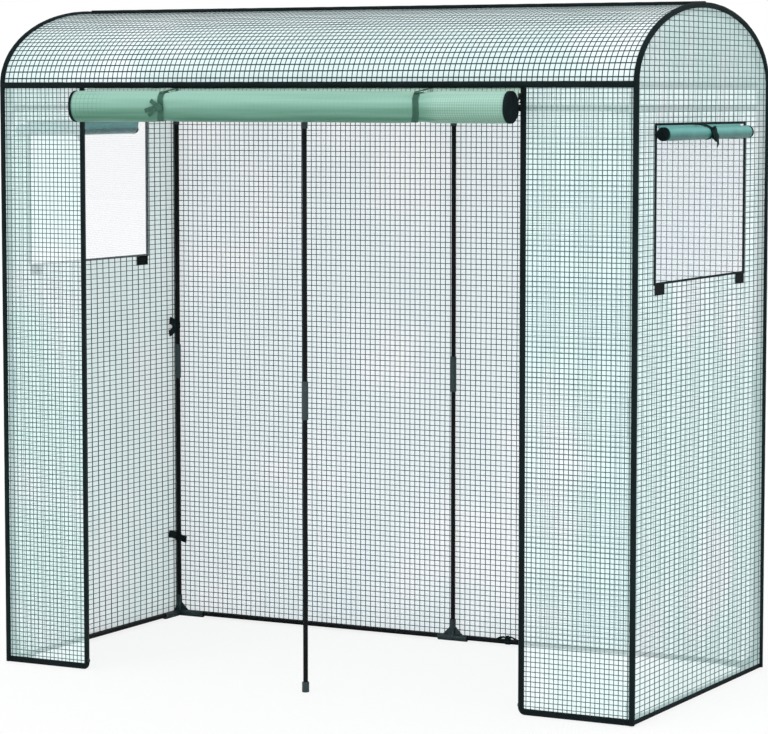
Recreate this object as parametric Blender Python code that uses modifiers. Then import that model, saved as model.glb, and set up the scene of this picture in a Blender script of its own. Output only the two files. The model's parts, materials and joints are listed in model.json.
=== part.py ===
"""A walk-in tunnel greenhouse: a tube frame with plastic connectors under a sewn film cover.

Metres, +Z up, +X to the right and the doorway towards -Y. The origin is on the floor, in the middle of
the space that the whole object takes, with its rolled flaps. Every piece is one closed solid.
"""

import math

import bmesh
import bpy
from mathutils import Euler, Matrix, Vector

# Overall sizes
WIDTH = 1.80  # over the corner piping
DEPTH = 0.86  # over the corner piping
HEIGHT = 1.72  # to the top of the ridge piping
ROOF_RISE = 0.20  # from the middle of the eave piping, where the arch starts, to the top
FRONT_LEFT_WIDTH = 0.260  # from the left end to the doorway
FRONT_RIGHT_WIDTH = 0.304  # from the right end to the doorway

# Tube frame
TUBE_D = 0.012
TUBE_WALL = 0.0008
RAIL_DROP = 0.058  # from the eave piping down to the rails
SLEEVE_LENGTH = 0.097
SLEEVE_CHAMFER = 0.0016

# Plastic connectors
FIT_GAP = 0.0003  # between a tube and its socket
SOCKET_WALL = 0.002
HUB_EXTRA = 0.0011  # how far a connector's ball stands out of its sockets
HUB_TUCK = 0.003  # how far a socket's stem reaches past the middle of the ball
STOP_WIDTH = 0.002  # the rib inside a sleeve that both half posts rest on
STOP_DEPTH = 0.0012
EAVE_SOCKET_DOWN = 0.050
EAVE_SOCKET_CLEAR = 0.0105  # from the top of the upper socket to the eave piping
EAVE_SOCKET_ALONG = 0.045
BASE_SOCKET_UP = 0.050
BASE_SOCKET_ALONG = 0.082
TEE_SOCKET_ALONG = 0.045
GUSSET_REACH = 0.030  # from a connector's middle, along each arm
GUSSET_THICKNESS = 0.0026
PAD_WIDTH = 0.010  # flat foot under a base connector
PAD_HEIGHT = 0.005
FOOT_WALL = 0.0028
FOOT_FLOOR = 0.004
FOOT_HEIGHT = 0.026

# Cover
FILM = 0.0008
PIPING_D = 0.011
SEAM_GAP = 0.0003  # between neighbouring cover pieces
TUCK = 0.001  # how far an edge is tucked into its tape
HEM_WIDTH = 0.012
HEM_THICKNESS = 0.0018
FLOOR_GAP = 0.002  # from the floor to the hem
DOOR_CORNER_R = 0.010

# Windows in the side panels
WINDOW_HEIGHT = 0.374
WINDOW_DROP = 0.097  # from the eave piping down to the top of the window
WINDOW_FRONT_MARGIN = 0.127  # from the front of the object to the window
WINDOW_BACK_MARGIN = 0.161
WINDOW_TAPE_WIDTH = 0.010
WINDOW_TAPE_THICKNESS = 0.0024
NET_THICKNESS = 0.001
NET_BAR = 0.006
NET_COLUMNS = 13
NET_ROWS = 9

# Rolled flaps
DOOR_ROLL_D = 0.075
DOOR_ROLL_HANG = 0.0125  # from the eave piping down to the roll
DOOR_ROLL_GAP = 0.012  # from the film forward to the roll
DOOR_ROLL_LAYER = 0.0035
DOOR_ROLL_PITCH = 0.0062
DOOR_ROLL_CORE_R = 0.010  # where the innermost turn ends
DOOR_ROLL_END_GAP = 0.005  # from the edge of the doorway
WINDOW_ROLL_D = 0.034
WINDOW_ROLL_HANG = 0.003  # from the top of the window down to the roll
WINDOW_ROLL_GAP = 0.0045
WINDOW_ROLL_LAYER = 0.0022
WINDOW_ROLL_PITCH = 0.0040
WINDOW_ROLL_CORE_R = 0.0065
WINDOW_ROLL_FRONT = 0.012  # how far the roll passes the window towards the doorway
WINDOW_ROLL_BACK = -0.030  # it stops short of the window's other side
ROLL_STEPS = 18  # points in one turn

# Ties
TIE_WIDTH = 0.016
TIE_THICKNESS = 0.0012
TIE_SPREAD = 0.359  # each door tie from the middle of the object
TIE_PROUD = 0.012  # how far the knot stands out of the roll
KNOT_SIZE = 0.018
BOW_WIDTH = 0.010
BOW_TAILS = ((149, 0.033), (191, 0.045), (213, 0.040))  # degrees from +X, and length
WINDOW_TIE_OFFSET = 0.020  # behind the middle of the window
WINDOW_TIE_WIDTH = 0.011

# Door zips
ZIP_BEAD = 0.004
ZIP_PROUD = 0.001  # how far the teeth stand past the tape
ZIP_START = 0.030  # height of the lowest teeth
SLIDER_WIDTH = 0.010
SLIDER_HEIGHT = 0.016
SLIDER_FRONT = 0.0045  # from the film to the slider's front face
SLIDER_BACK = 0.0034
SLIDER_PARK = 0.015  # from the eave piping down to the parked slider
SLIDER_CLEARANCE = 0.0003
PIN_R = 0.0009
PIN_CLEARANCE = 0.00035  # between the pin and the pull's eye
PIN_DROP = 0.0045  # from the slider's top to the pin
EAR_THICKNESS = 0.0012
EAR_REACH = 0.0016  # past the pin
PULL_EYE_WALL = 0.00085
PULL_CLEARANCE = 0.0005  # between the pull's eye and the slider's face
PULL_NECK = 0.003
PULL_WIDTH = 0.007
PULL_LENGTH = 0.020
PULL_THICKNESS = 0.0014
PULL_SHOULDER = 0.006

# Facets
TUBE_SIDES = 12
ARCH_STEPS = 16
OUTER_RESOLUTION = 4  # a bent tube of 12 sides
INNER_RESOLUTION = 2  # a bore or piping of 8 sides
BALL_RINGS = 8
BALL_TURN = (0.21, 0.13, 0.17)  # keeps the ball's facets off the sockets' edges
CORNER_STEPS = 4

# Sizes that follow
PIPING_R = PIPING_D / 2
TUBE_R = TUBE_D / 2
TUBE_INSET = PIPING_R + TUBE_R + FIT_GAP  # so that the roof piping rests on the hoops
BORE_R = TUBE_R + FIT_GAP
SOCKET_R = BORE_R + SOCKET_WALL
HUB_R = SOCKET_R + HUB_EXTRA
BORE_START = HUB_R  # from a connector's middle to the bottom of a bore
SEAT = BORE_START + FIT_GAP  # from a connector's middle to the end of a tube
FILM_X = WIDTH / 2 - PIPING_R
FILM_Y = DEPTH / 2 - PIPING_R
EAVE_HEIGHT = HEIGHT - ROOF_RISE
ARCH_RISE = ROOF_RISE - PIPING_R
EAVE_SOCKET_UP = RAIL_DROP - PIPING_R - EAVE_SOCKET_CLEAR
DOOR_ROLL_R = DOOR_ROLL_D / 2
DOOR_ROLL_DROP = PIPING_R + DOOR_ROLL_HANG + DOOR_ROLL_R
WINDOW_ROLL_R = WINDOW_ROLL_D / 2
WINDOW_ROLL_DROP = WINDOW_ROLL_HANG + WINDOW_ROLL_R
FRONT_REACH = DOOR_ROLL_GAP + DOOR_ROLL_D + TIE_PROUD - PIPING_R
CENTRE_Y = FRONT_REACH / 2  # puts the origin in the middle of the overall depth
FRONT_Y = CENTRE_Y - FILM_Y
BACK_Y = CENTRE_Y + FILM_Y
TUBE_X = FILM_X - TUBE_INSET
BASE_HEIGHT = HUB_R + FIT_GAP / 2
RAIL_HEIGHT = EAVE_HEIGHT - RAIL_DROP
SLEEVE_HEIGHT = (BASE_HEIGHT + RAIL_HEIGHT) / 2
PANEL_X = WIDTH / 2 - PIPING_D - SEAM_GAP  # where the panels stop beside the corner piping
PANEL_TOP = EAVE_HEIGHT - PIPING_R - SEAM_GAP
DOOR_LEFT = FRONT_LEFT_WIDTH - WIDTH / 2
DOOR_RIGHT = WIDTH / 2 - FRONT_RIGHT_WIDTH
WINDOW_FRONT = CENTRE_Y - DEPTH / 2 + WINDOW_FRONT_MARGIN
WINDOW_BACK = CENTRE_Y + DEPTH / 2 - WINDOW_BACK_MARGIN
WINDOW_TOP = EAVE_HEIGHT - WINDOW_DROP
WINDOW_SILL = WINDOW_TOP - WINDOW_HEIGHT
PULL_EYE_BORE_R = PIN_R + PIN_CLEARANCE
PULL_EYE_R = PULL_EYE_BORE_R + PULL_EYE_WALL
PIN_STANDOFF = PULL_EYE_R + PULL_CLEARANCE
PIN_Y = FRONT_Y - SLIDER_FRONT - PIN_STANDOFF
SLIDER_TOP = EAVE_HEIGHT - PIPING_R - SLIDER_PARK
PIN_Z = SLIDER_TOP - PIN_DROP

COLUMN_X = {"left": -TUBE_X, "middle": 0.0, "right": TUBE_X}
COLUMN_Y = {"front": FRONT_Y + TUBE_INSET, "back": BACK_Y - TUBE_INSET}
SIDE = {"left": -1, "right": 1}
MILLIMETRES = 1000.0
SHARP_ANGLE = math.radians(35)
WELD = 1e-5

for old in list(bpy.data.objects):
    bpy.data.objects.remove(old)

parts = bpy.data.collections.new("greenhouse")
cutters = bpy.data.collections.new("cutters")
bpy.context.scene.collection.children.link(parts)
bpy.context.scene.collection.children.link(cutters)


def make_material(name, colour, roughness, metallic=0.0, alpha=1.0):
    """A Principled material from a linear colour."""
    material = bpy.data.materials.new(name)
    material.use_nodes = True
    shader = material.node_tree.nodes["Principled BSDF"]
    shader.inputs["Base Color"].default_value = (*colour, 1.0)
    shader.inputs["Roughness"].default_value = roughness
    shader.inputs["Metallic"].default_value = metallic
    shader.inputs["Alpha"].default_value = alpha
    return material


STEEL = make_material("black_coated_steel", (0.004, 0.006, 0.008), 0.35, 0.3)
PLASTIC = make_material("connector_plastic", (0.025, 0.060, 0.063), 0.45)
FILM_MINT = make_material("reinforced_film", (0.62, 0.86, 0.80), 0.35, 0.0, 0.6)
DOOR_MINT = make_material("door_flap_film", (0.28, 0.55, 0.43), 0.4)
WINDOW_TEAL = make_material("window_flap_film", (0.08, 0.38, 0.32), 0.4)
TIE_CLOTH = make_material("tie_cloth", (0.055, 0.13, 0.10), 0.8)
NET_WHITE = make_material("insect_net", (0.75, 0.74, 0.85), 0.8, 0.0, 0.5)
ZIP_METAL = make_material("zip_metal", (0.02, 0.025, 0.03), 0.35, 0.8)


def mesh_of(bm, name):
    """The mesh of a bmesh, welded and facing out."""
    bmesh.ops.remove_doubles(bm, verts=bm.verts, dist=WELD)
    bmesh.ops.recalc_face_normals(bm, faces=bm.faces)
    mesh = bpy.data.meshes.new(name)
    bm.to_mesh(mesh)
    bm.free()
    return mesh


def mesh_from_curve(curve, name, scale=1.0):
    """A curve's evaluated surface as a closed mesh."""
    holder = bpy.data.objects.new(name, curve)
    cutters.objects.link(holder)
    bpy.context.view_layer.update()
    evaluated = holder.evaluated_get(bpy.context.evaluated_depsgraph_get())
    surface = bpy.data.meshes.new_from_object(evaluated)
    bm = bmesh.new()
    bm.from_mesh(surface)
    bmesh.ops.scale(bm, vec=(scale, scale, scale), verts=bm.verts)
    bpy.data.objects.remove(holder)
    bpy.data.curves.remove(curve)
    bpy.data.meshes.remove(surface)
    return mesh_of(bm, name)


def flat(name, loops, thickness, place):
    """A plate: the first loop is its outline, the others its holes, as (u, v) in metres."""
    curve = bpy.data.curves.new(name, "CURVE")
    curve.dimensions = "2D"
    curve.fill_mode = "BOTH"
    curve.extrude = thickness * MILLIMETRES / 2
    for loop in loops:
        spline = curve.splines.new("POLY")
        spline.points.add(len(loop) - 1)
        for point, (u, v) in zip(spline.points, loop):
            point.co = (u * MILLIMETRES, v * MILLIMETRES, 0, 1)
        spline.use_cyclic_u = True
    mesh = mesh_from_curve(curve, name, 1 / MILLIMETRES)
    mesh.transform(place)
    if place.is_negative:
        mesh.flip_normals()
    return mesh


def swept(name, points, radius, resolution):
    """A closed round bar along a line of points."""
    curve = bpy.data.curves.new(name, "CURVE")
    curve.dimensions = "3D"
    curve.bevel_depth = radius
    curve.bevel_resolution = resolution
    curve.use_fill_caps = True
    spline = curve.splines.new("POLY")
    spline.points.add(len(points) - 1)
    for point, place in zip(spline.points, points):
        point.co = (*place, 1)
    return mesh_from_curve(curve, name)


def rod(name, start, end, radius):
    """A closed straight cylinder."""
    start, end = Vector(start), Vector(end)
    turn = (end - start).to_track_quat("Z", "Y")
    place = Matrix.LocRotScale((start + end) / 2, turn, None)
    bm = bmesh.new()
    bmesh.ops.create_cone(
        bm, cap_ends=True, segments=TUBE_SIDES, radius1=radius, radius2=radius,
        depth=(end - start).length, matrix=place,
    )
    return mesh_of(bm, name)


def box(name, low, high):
    """A closed box between two corners."""
    low, high = Vector(low), Vector(high)
    bm = bmesh.new()
    bmesh.ops.create_cube(bm, size=1.0, matrix=Matrix.LocRotScale((low + high) / 2, None, high - low))
    return mesh_of(bm, name)


def ball(name, place):
    """A closed ball of radius 1 about the origin, put in its place by a matrix."""
    bm = bmesh.new()
    bmesh.ops.create_uvsphere(bm, u_segments=TUBE_SIDES, v_segments=BALL_RINGS, radius=1.0, matrix=place)
    return mesh_of(bm, name)


def turned(name, profile, material, at):
    """A node turned about Z from a closed profile of (radius, height), outer side first, top down."""
    bm = bmesh.new()
    corners = [bm.verts.new((radius, 0, height)) for radius, height in profile]
    for index, corner in enumerate(corners):
        bm.edges.new((corner, corners[(index + 1) % len(corners)]))
    mesh = bpy.data.meshes.new(name)
    bm.to_mesh(mesh)
    bm.free()
    piece = add_object(name, mesh, parts, at)
    screw = piece.modifiers.new("turn", "SCREW")
    screw.axis = "Z"
    screw.steps = screw.render_steps = TUBE_SIDES
    screw.use_merge_vertices = True
    screw.merge_threshold = WELD
    screw.use_normal_calculate = True
    mesh.materials.append(material)
    return piece


def add_object(name, mesh, collection, at):
    piece = bpy.data.objects.new(name, mesh)
    collection.objects.link(piece)
    piece.location = at
    return piece


def combine(piece, operation, mesh):
    """Joins a mesh to a piece, or cuts it out, with a live Boolean."""
    helper = add_object(mesh.name, mesh, cutters, piece.location)
    helper.hide_render = True
    helper.display_type = "WIRE"
    change = piece.modifiers.new(mesh.name, "BOOLEAN")
    change.operation = operation
    change.object = helper
    change.solver = "EXACT"


def node(name, solids, material, at=(0, 0, 0), cuts=()):
    """One named piece: the first solid with the others joined to it and the cuts taken out."""
    piece = add_object(name, solids[0], parts, at)
    for mesh in solids[1:]:
        combine(piece, "UNION", mesh)
    for mesh in cuts:
        combine(piece, "DIFFERENCE", mesh)
    weld = piece.modifiers.new("weld", "WELD")
    weld.merge_threshold = WELD
    solids[0].materials.append(material)
    solids[0].shade_smooth()
    solids[0].set_sharp_from_angle(angle=SHARP_ANGLE)
    return piece


def plane_matrix(u_axis, v_axis, through=(0, 0, 0)):
    """Puts a flat outline's (u, v) on two world axes, through a point."""
    u_axis, v_axis = Vector(u_axis), Vector(v_axis)
    turn = Matrix((u_axis, v_axis, u_axis.cross(v_axis))).transposed().to_4x4()
    return Matrix.Translation(through) @ turn


def arch_points(half_span, rise, steps=ARCH_STEPS):
    """Half an ellipse over the eaves, as (along Y, up) from the front to the back."""
    turns = [math.pi * step / steps for step in range(steps + 1)]
    return [(-half_span * math.cos(turn), EAVE_HEIGHT + rise * math.sin(turn)) for turn in turns]


def rectangle(low_u, low_v, high_u, high_v):
    return [(low_u, low_v), (high_u, low_v), (high_u, high_v), (low_u, high_v)]


def ribbon(line, thickness):
    """The outline of an open line of (u, v) points that is given a thickness, half on each side."""
    sides = [[], []]
    for index, here in enumerate(line):
        before, after = line[max(index - 1, 0)], line[min(index + 1, len(line) - 1)]
        into = (Vector(here) - Vector(before)).normalized() if index else None
        out = (Vector(after) - Vector(here)).normalized() if index < len(line) - 1 else None
        into, out = into or out, out or into
        across = Vector((-(into + out).y, (into + out).x)).normalized()
        reach = thickness / 2 / max(across.dot(Vector((-into.y, into.x))), 0.5)
        sides[0].append(tuple(Vector(here) + across * reach))
        sides[1].append(tuple(Vector(here) - across * reach))
    return sides[0] + sides[1][::-1]


def tube(name, start, end):
    """A straight frame tube, open at both ends."""
    start, end = Vector(start), Vector(end)
    length = (end - start).length
    bm = bmesh.new()
    bmesh.ops.create_cone(
        bm, cap_ends=False, segments=TUBE_SIDES, radius1=TUBE_R, radius2=TUBE_R,
        depth=length, matrix=Matrix.Translation((0, 0, length / 2)),
    )
    mesh = bpy.data.meshes.new(name)
    bm.to_mesh(mesh)
    bm.free()
    piece = add_object(name, mesh, parts, start)
    piece.rotation_mode = "QUATERNION"
    piece.rotation_quaternion = (end - start).to_track_quat("Z", "Y")
    wall = piece.modifiers.new("wall", "SOLIDIFY")
    wall.thickness = TUBE_WALL
    wall.offset = -1
    wall.use_even_offset = True
    mesh.materials.append(STEEL)
    mesh.shade_smooth()
    mesh.set_sharp_from_angle(angle=SHARP_ANGLE)
    return piece


def hoop(name, x):
    """A roof hoop: a bent tube that stands in two eave connectors."""
    half_span = FILM_Y - TUBE_INSET
    arch = [(0, y, z) for y, z in arch_points(half_span, ARCH_RISE - TUBE_INSET)]
    foot = RAIL_HEIGHT + SEAT
    line = [(0, -half_span, foot), *arch, (0, half_span, foot)]
    past = [(0, -half_span, foot - TUBE_D), *arch, (0, half_span, foot - TUBE_D)]
    outside = swept(name, line, TUBE_R, OUTER_RESOLUTION)
    inside = swept(f"{name}_bore", past, TUBE_R - TUBE_WALL, INNER_RESOLUTION)
    node(name, [outside], STEEL, (x, CENTRE_Y, 0), [inside])


def sleeve(name, x, y):
    """A mid-height coupler: a sleeve with a rib inside that both half posts rest on."""
    half = SLEEVE_LENGTH / 2
    profile = [
        (SOCKET_R - SLEEVE_CHAMFER / 2, half), (SOCKET_R, half - SLEEVE_CHAMFER),
        (SOCKET_R, SLEEVE_CHAMFER - half), (SOCKET_R - SLEEVE_CHAMFER / 2, -half),
        (BORE_R, -half), (BORE_R, -STOP_WIDTH / 2), (BORE_R - STOP_DEPTH, -STOP_WIDTH / 2),
        (BORE_R - STOP_DEPTH, STOP_WIDTH / 2), (BORE_R, STOP_WIDTH / 2), (BORE_R, half),
    ]
    turned(name, profile, PLASTIC, (x, y, SLEEVE_HEIGHT))


def connector(name, middle, arms, gussets=(), pads=False):
    """A moulded connector: a ball with a socket along each arm, webs between some arms, and flat feet.

    arms maps a direction to the socket's length from the middle; gussets lists pairs of directions.
    """
    solids = [ball(name, Matrix.LocRotScale(None, Euler(BALL_TURN), Vector((HUB_R, HUB_R, HUB_R))))]
    cuts = []
    for number, (direction, length) in enumerate(arms.items()):
        opposite = tuple(-value for value in direction)
        along = Vector(direction)
        cuts.append(rod(f"{name}_bore_{number}", along * BORE_START, along * (length + TUBE_R), BORE_R))
        if opposite not in arms or direction > opposite:
            start = -along * arms.get(opposite, HUB_TUCK)
            stem = rod(f"{name}_socket_{number}", start, along * length, SOCKET_R)
            solids.append(stem)
    for number, (first, second) in enumerate(gussets):
        inner = SOCKET_R - TUCK
        web = [(inner, inner), (GUSSET_REACH, inner), (inner, GUSSET_REACH)]
        solids.append(flat(f"{name}_web_{number}", [web], GUSSET_THICKNESS, plane_matrix(first, second)))
    if pads:
        for number, (direction, length) in enumerate(arms.items()):
            if direction[2]:
                continue
            along = Vector(direction) * (length - TUCK)
            across = Vector((abs(direction[1]), abs(direction[0]), 0)) * PAD_WIDTH / 2
            low = Vector([min(0, value) for value in along]) - across
            high = Vector([max(0, value) for value in along]) + across
            low.z, high.z = -BASE_HEIGHT, PAD_HEIGHT - BASE_HEIGHT
            solids.append(box(f"{name}_pad_{number}", low, high))
    node(name, solids, PLASTIC, middle, cuts)


def foot(name, x, y):
    """The cap under the front middle post."""
    outer = BORE_R + FOOT_WALL
    profile = [
        (outer - SLEEVE_CHAMFER / 2, FOOT_HEIGHT), (outer, FOOT_HEIGHT - SLEEVE_CHAMFER),
        (outer, SLEEVE_CHAMFER / 2), (outer - SLEEVE_CHAMFER / 2, 0), (0, 0),
        (0, FOOT_FLOOR), (BORE_R, FOOT_FLOOR), (BORE_R, FOOT_HEIGHT),
    ]
    turned(name, profile, PLASTIC, (x, y, 0))


def make_frame():
    up, down = (0, 0, 1), (0, 0, -1)
    for row, y in COLUMN_Y.items():
        inward = (0, 1, 0) if row == "front" else (0, -1, 0)
        for column, x in COLUMN_X.items():
            place = f"{row}_{column}"
            alone = place == "front_middle"
            low = FOOT_FLOOR + FIT_GAP if alone else BASE_HEIGHT + SEAT
            joint = STOP_WIDTH / 2 + FIT_GAP
            tube(f"post_lower_{place}", (x, y, low), (x, y, SLEEVE_HEIGHT - joint))
            tube(f"post_upper_{place}", (x, y, SLEEVE_HEIGHT + joint), (x, y, RAIL_HEIGHT - SEAT))
            sleeve(f"post_sleeve_{place}", x, y)
            along = {
                "left": [(1, 0, 0)], "middle": [(1, 0, 0), (-1, 0, 0)], "right": [(-1, 0, 0)],
            }[column]
            arms = {down: EAVE_SOCKET_DOWN, up: EAVE_SOCKET_UP}
            arms.update({direction: EAVE_SOCKET_ALONG for direction in along})
            if column != "middle":
                arms[inward] = EAVE_SOCKET_ALONG
            connector(f"eave_connector_{place}", (x, y, RAIL_HEIGHT), arms)
            if alone:
                foot(f"foot_{place}", x, y)
            elif column == "middle":
                arms = {up: BASE_SOCKET_UP, (1, 0, 0): TEE_SOCKET_ALONG, (-1, 0, 0): TEE_SOCKET_ALONG}
                webs = [((1, 0, 0), up), ((-1, 0, 0), up)]
                connector(f"base_tee_{row}", (x, y, BASE_HEIGHT), arms, webs, True)
            else:
                arms = {up: BASE_SOCKET_UP, inward: BASE_SOCKET_ALONG}
                webs = [(inward, up)]
                if row == "back":
                    arms[along[0]] = BASE_SOCKET_ALONG
                    webs.append((along[0], up))
                connector(f"base_corner_{place}", (x, y, BASE_HEIGHT), arms, webs, True)
        for end, sign in SIDE.items():
            start, stop = (sign * SEAT, y, RAIL_HEIGHT), (sign * (TUBE_X - SEAT), y, RAIL_HEIGHT)
            tube(f"eave_rail_{row}_{end}", start, stop)
    front, back = COLUMN_Y["front"], COLUMN_Y["back"]
    for end, sign in SIDE.items():
        x = sign * TUBE_X
        tube(f"side_rail_{end}", (x, front + SEAT, RAIL_HEIGHT), (x, back - SEAT, RAIL_HEIGHT))
        tube(f"base_tube_side_{end}", (x, front + SEAT, BASE_HEIGHT), (x, back - SEAT, BASE_HEIGHT))
        inner, outer = sign * SEAT, x - sign * SEAT
        tube(f"base_tube_back_{end}", (inner, back, BASE_HEIGHT), (outer, back, BASE_HEIGHT))
    for column, x in COLUMN_X.items():
        hoop(f"hoop_{column}", x)


def make_roof():
    """The roof film over the arch, with piping along both eaves and the ridge."""
    arch = arch_points(FILM_Y, ARCH_RISE)
    across_x = plane_matrix((0, 1, 0), (0, 0, 1))
    solids = [flat("roof_panel", [ribbon(arch, FILM)], 2 * PANEL_X - 2 * TUCK, across_x)]
    ridge = (0, EAVE_HEIGHT + ARCH_RISE)
    for number, (y, z) in enumerate([arch[0], ridge, arch[-1]]):
        solids.append(rod(f"roof_piping_{number}", (-PANEL_X, y, z), (PANEL_X, y, z), PIPING_R))
    node("roof_panel", solids, FILM_MINT, (0, CENTRE_Y, 0))


def make_back():
    facing = plane_matrix((1, 0, 0), (0, 0, 1))
    film = rectangle(-PANEL_X, FLOOR_GAP + TUCK, PANEL_X, PANEL_TOP)
    hem = rectangle(TUCK - PANEL_X, FLOOR_GAP, PANEL_X - TUCK, FLOOR_GAP + HEM_WIDTH)
    solids = [flat("back_panel", [film], FILM, facing), flat("back_hem", [hem], HEM_THICKNESS, facing)]
    node("back_panel", solids, FILM_MINT, (0, BACK_Y, 0))


def make_side(end):
    """An end panel: film under the arch with a window, edge piping, a hem and a window binding."""
    name = f"side_panel_{end}"
    sign = SIDE[end]
    facing = plane_matrix((0, 1, 0), (0, 0, 1))
    arch = arch_points(FILM_Y, ARCH_RISE)
    outline = [(-FILM_Y, FLOOR_GAP + TUCK), *arch, (FILM_Y, FLOOR_GAP + TUCK)]
    front, back = WINDOW_FRONT - CENTRE_Y, WINDOW_BACK - CENTRE_Y
    opening = rectangle(front, WINDOW_SILL, back, WINDOW_TOP)
    cut = rectangle(front - TUCK, WINDOW_SILL - TUCK, back + TUCK, WINDOW_TOP + TUCK)
    tape = WINDOW_TAPE_WIDTH
    rim = rectangle(front - tape, WINDOW_SILL - tape, back + tape, WINDOW_TOP + tape)
    hem = rectangle(TUCK - FILM_Y, FLOOR_GAP, FILM_Y - TUCK, FLOOR_GAP + HEM_WIDTH)
    low = FLOOR_GAP + TUCK / 2
    piping = [(0, -FILM_Y, low), *[(0, y, z) for y, z in arch], (0, FILM_Y, low)]
    solids = [
        flat(name, [outline, cut], FILM, facing),
        flat(f"{name}_binding", [rim, opening], WINDOW_TAPE_THICKNESS, facing),
        swept(f"{name}_piping", piping, PIPING_R, INNER_RESOLUTION),
        flat(f"{name}_hem", [hem], HEM_THICKNESS, facing),
    ]
    node(name, solids, FILM_MINT, (sign * FILM_X, CENTRE_Y, 0))


def make_front(end):
    """A front panel beside the doorway: film, an L-shaped hem and the door's zip teeth."""
    name = f"front_panel_{end}"
    sign = SIDE[end]
    width = {"left": FRONT_LEFT_WIDTH, "right": FRONT_RIGHT_WIDTH}[end]
    outer = WIDTH / 2 - PANEL_X  # the panel's outer edge and the others are measured from the end
    facing = plane_matrix((-sign, 0, 0), (0, 0, 1), (sign * WIDTH / 2, 0, 0))
    turns = [math.pi / 2 * step / CORNER_STEPS - math.pi / 2 for step in range(CORNER_STEPS + 1)]
    corner = (width - DOOR_CORNER_R, FLOOR_GAP + DOOR_CORNER_R)
    tucked = [on_circle(corner, DOOR_CORNER_R - TUCK, turn) for turn in turns]
    rounded = [on_circle(corner, DOOR_CORNER_R, turn) for turn in turns]
    top = PANEL_TOP - TUCK
    film = [(outer, FLOOR_GAP + TUCK), *tucked, (width - TUCK, top), (outer, top)]
    hem = [
        (outer + TUCK, FLOOR_GAP), *rounded, (width, PANEL_TOP), (width - HEM_WIDTH, PANEL_TOP),
        (width - HEM_WIDTH, FLOOR_GAP + HEM_WIDTH), (outer + TUCK, FLOOR_GAP + HEM_WIDTH),
    ]
    teeth_u = width + ZIP_PROUD - ZIP_BEAD
    teeth = rectangle(teeth_u, ZIP_START, width + ZIP_PROUD, top - TUCK)
    solids = [
        flat(name, [film], FILM, facing),
        flat(f"{name}_hem", [hem], HEM_THICKNESS, facing),
        flat(f"{name}_teeth", [teeth], ZIP_BEAD, facing),
    ]
    node(name, solids, FILM_MINT, (0, FRONT_Y, 0))


def tangent_turn(point, middle, radius, side):
    """The angle on a circle where a straight line from a point outside touches it, on one side."""
    reach = Vector(point) - Vector(middle)
    return math.atan2(reach.y, reach.x) + side * math.acos(radius / reach.length)


def on_circle(middle, radius, turn):
    return (middle[0] + radius * math.cos(turn), middle[1] + radius * math.sin(turn))


def roll_line(anchor, middle, radius, pitch, core):
    """The middle line of a rolled flap as (outward, up): down, round the back, then inwards."""
    start = tangent_turn(anchor, middle, radius, 1)
    steps = round((radius - core) / pitch * ROLL_STEPS)
    line = [anchor]
    for step in range(steps + 1):
        turn = 2 * math.pi * step / ROLL_STEPS
        line.append(on_circle(middle, radius - pitch * turn / (2 * math.pi), start + turn))
    return line


def make_door_roll():
    """The door flap, rolled up outside the doorway and hanging from the eave."""
    facing = plane_matrix((0, -1, 0), (0, 0, 1))
    middle = (DOOR_ROLL_GAP + DOOR_ROLL_R, -DOOR_ROLL_DROP)
    anchor = (0.0, -PIPING_R - SEAM_GAP)
    radius = DOOR_ROLL_R - DOOR_ROLL_LAYER / 2
    line = roll_line(anchor, middle, radius, DOOR_ROLL_PITCH, DOOR_ROLL_CORE_R)
    left, right = DOOR_LEFT + DOOR_ROLL_END_GAP, DOOR_RIGHT - DOOR_ROLL_END_GAP
    roll = flat("door_roll", [ribbon(line, DOOR_ROLL_LAYER)], right - left, facing)
    node("door_roll", [roll], DOOR_MINT, ((left + right) / 2, FRONT_Y, EAVE_HEIGHT))


def make_door_tie(end):
    """A cloth tie from the eave round the rolled door. The left one has its knot and tails in front."""
    name = f"door_tie_{end}"
    facing = plane_matrix((0, -1, 0), (0, 0, 1))
    middle = (DOOR_ROLL_GAP + DOOR_ROLL_R, -DOOR_ROLL_DROP)
    clear = (DOOR_ROLL_R + SEAM_GAP) / math.cos(math.pi / ROLL_STEPS) + TIE_THICKNESS / 2
    front = (PIPING_R + SEAM_GAP + TIE_THICKNESS / 2, 0.0)
    behind = (-DOOR_ROLL_LAYER / 2 - SEAM_GAP - TIE_THICKNESS, -PIPING_R - SEAM_GAP)
    leave = tangent_turn(front, middle, clear, -1)
    arrive = tangent_turn(behind, middle, clear, 1) - 2 * math.pi
    line = [front]
    for step in range(ROLL_STEPS + 1):
        line.append(on_circle(middle, clear, leave + (arrive - leave) * step / ROLL_STEPS))
    line.append(behind)
    solids = [flat(name, [ribbon(line, TIE_THICKNESS)], TIE_WIDTH, facing)]
    if end == "left":
        solids += knot_and_tails(name)
    node(name, solids, TIE_CLOTH, (SIDE[end] * TIE_SPREAD, FRONT_Y, EAVE_HEIGHT))


def knot_and_tails(name):
    """A knot on the front of the rolled door, with the tie's loose ends."""
    strap = DOOR_ROLL_GAP + DOOR_ROLL_D
    depth = TIE_PROUD + TIE_THICKNESS
    size = Vector((KNOT_SIZE, KNOT_SIZE, depth)) / 2
    middle = Vector((0, depth / 2 - strap - TIE_PROUD, -DOOR_ROLL_DROP))
    upright = Euler((math.pi / 2, 0, 0))
    solids = [ball(f"{name}_knot", Matrix.LocRotScale(middle, upright, size))]
    for number, (angle, length) in enumerate(BOW_TAILS):
        tip = on_circle((0, 0), length, math.radians(angle))
        facing = plane_matrix((1, 0, 0), (0, 0, 1), middle)
        tail = ribbon([(0.0, 0.0), tip], BOW_WIDTH)
        thickness = TIE_THICKNESS * (1 + number / len(BOW_TAILS))
        solids.append(flat(f"{name}_tail_{number}", [tail], thickness, facing))
    return solids


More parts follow.
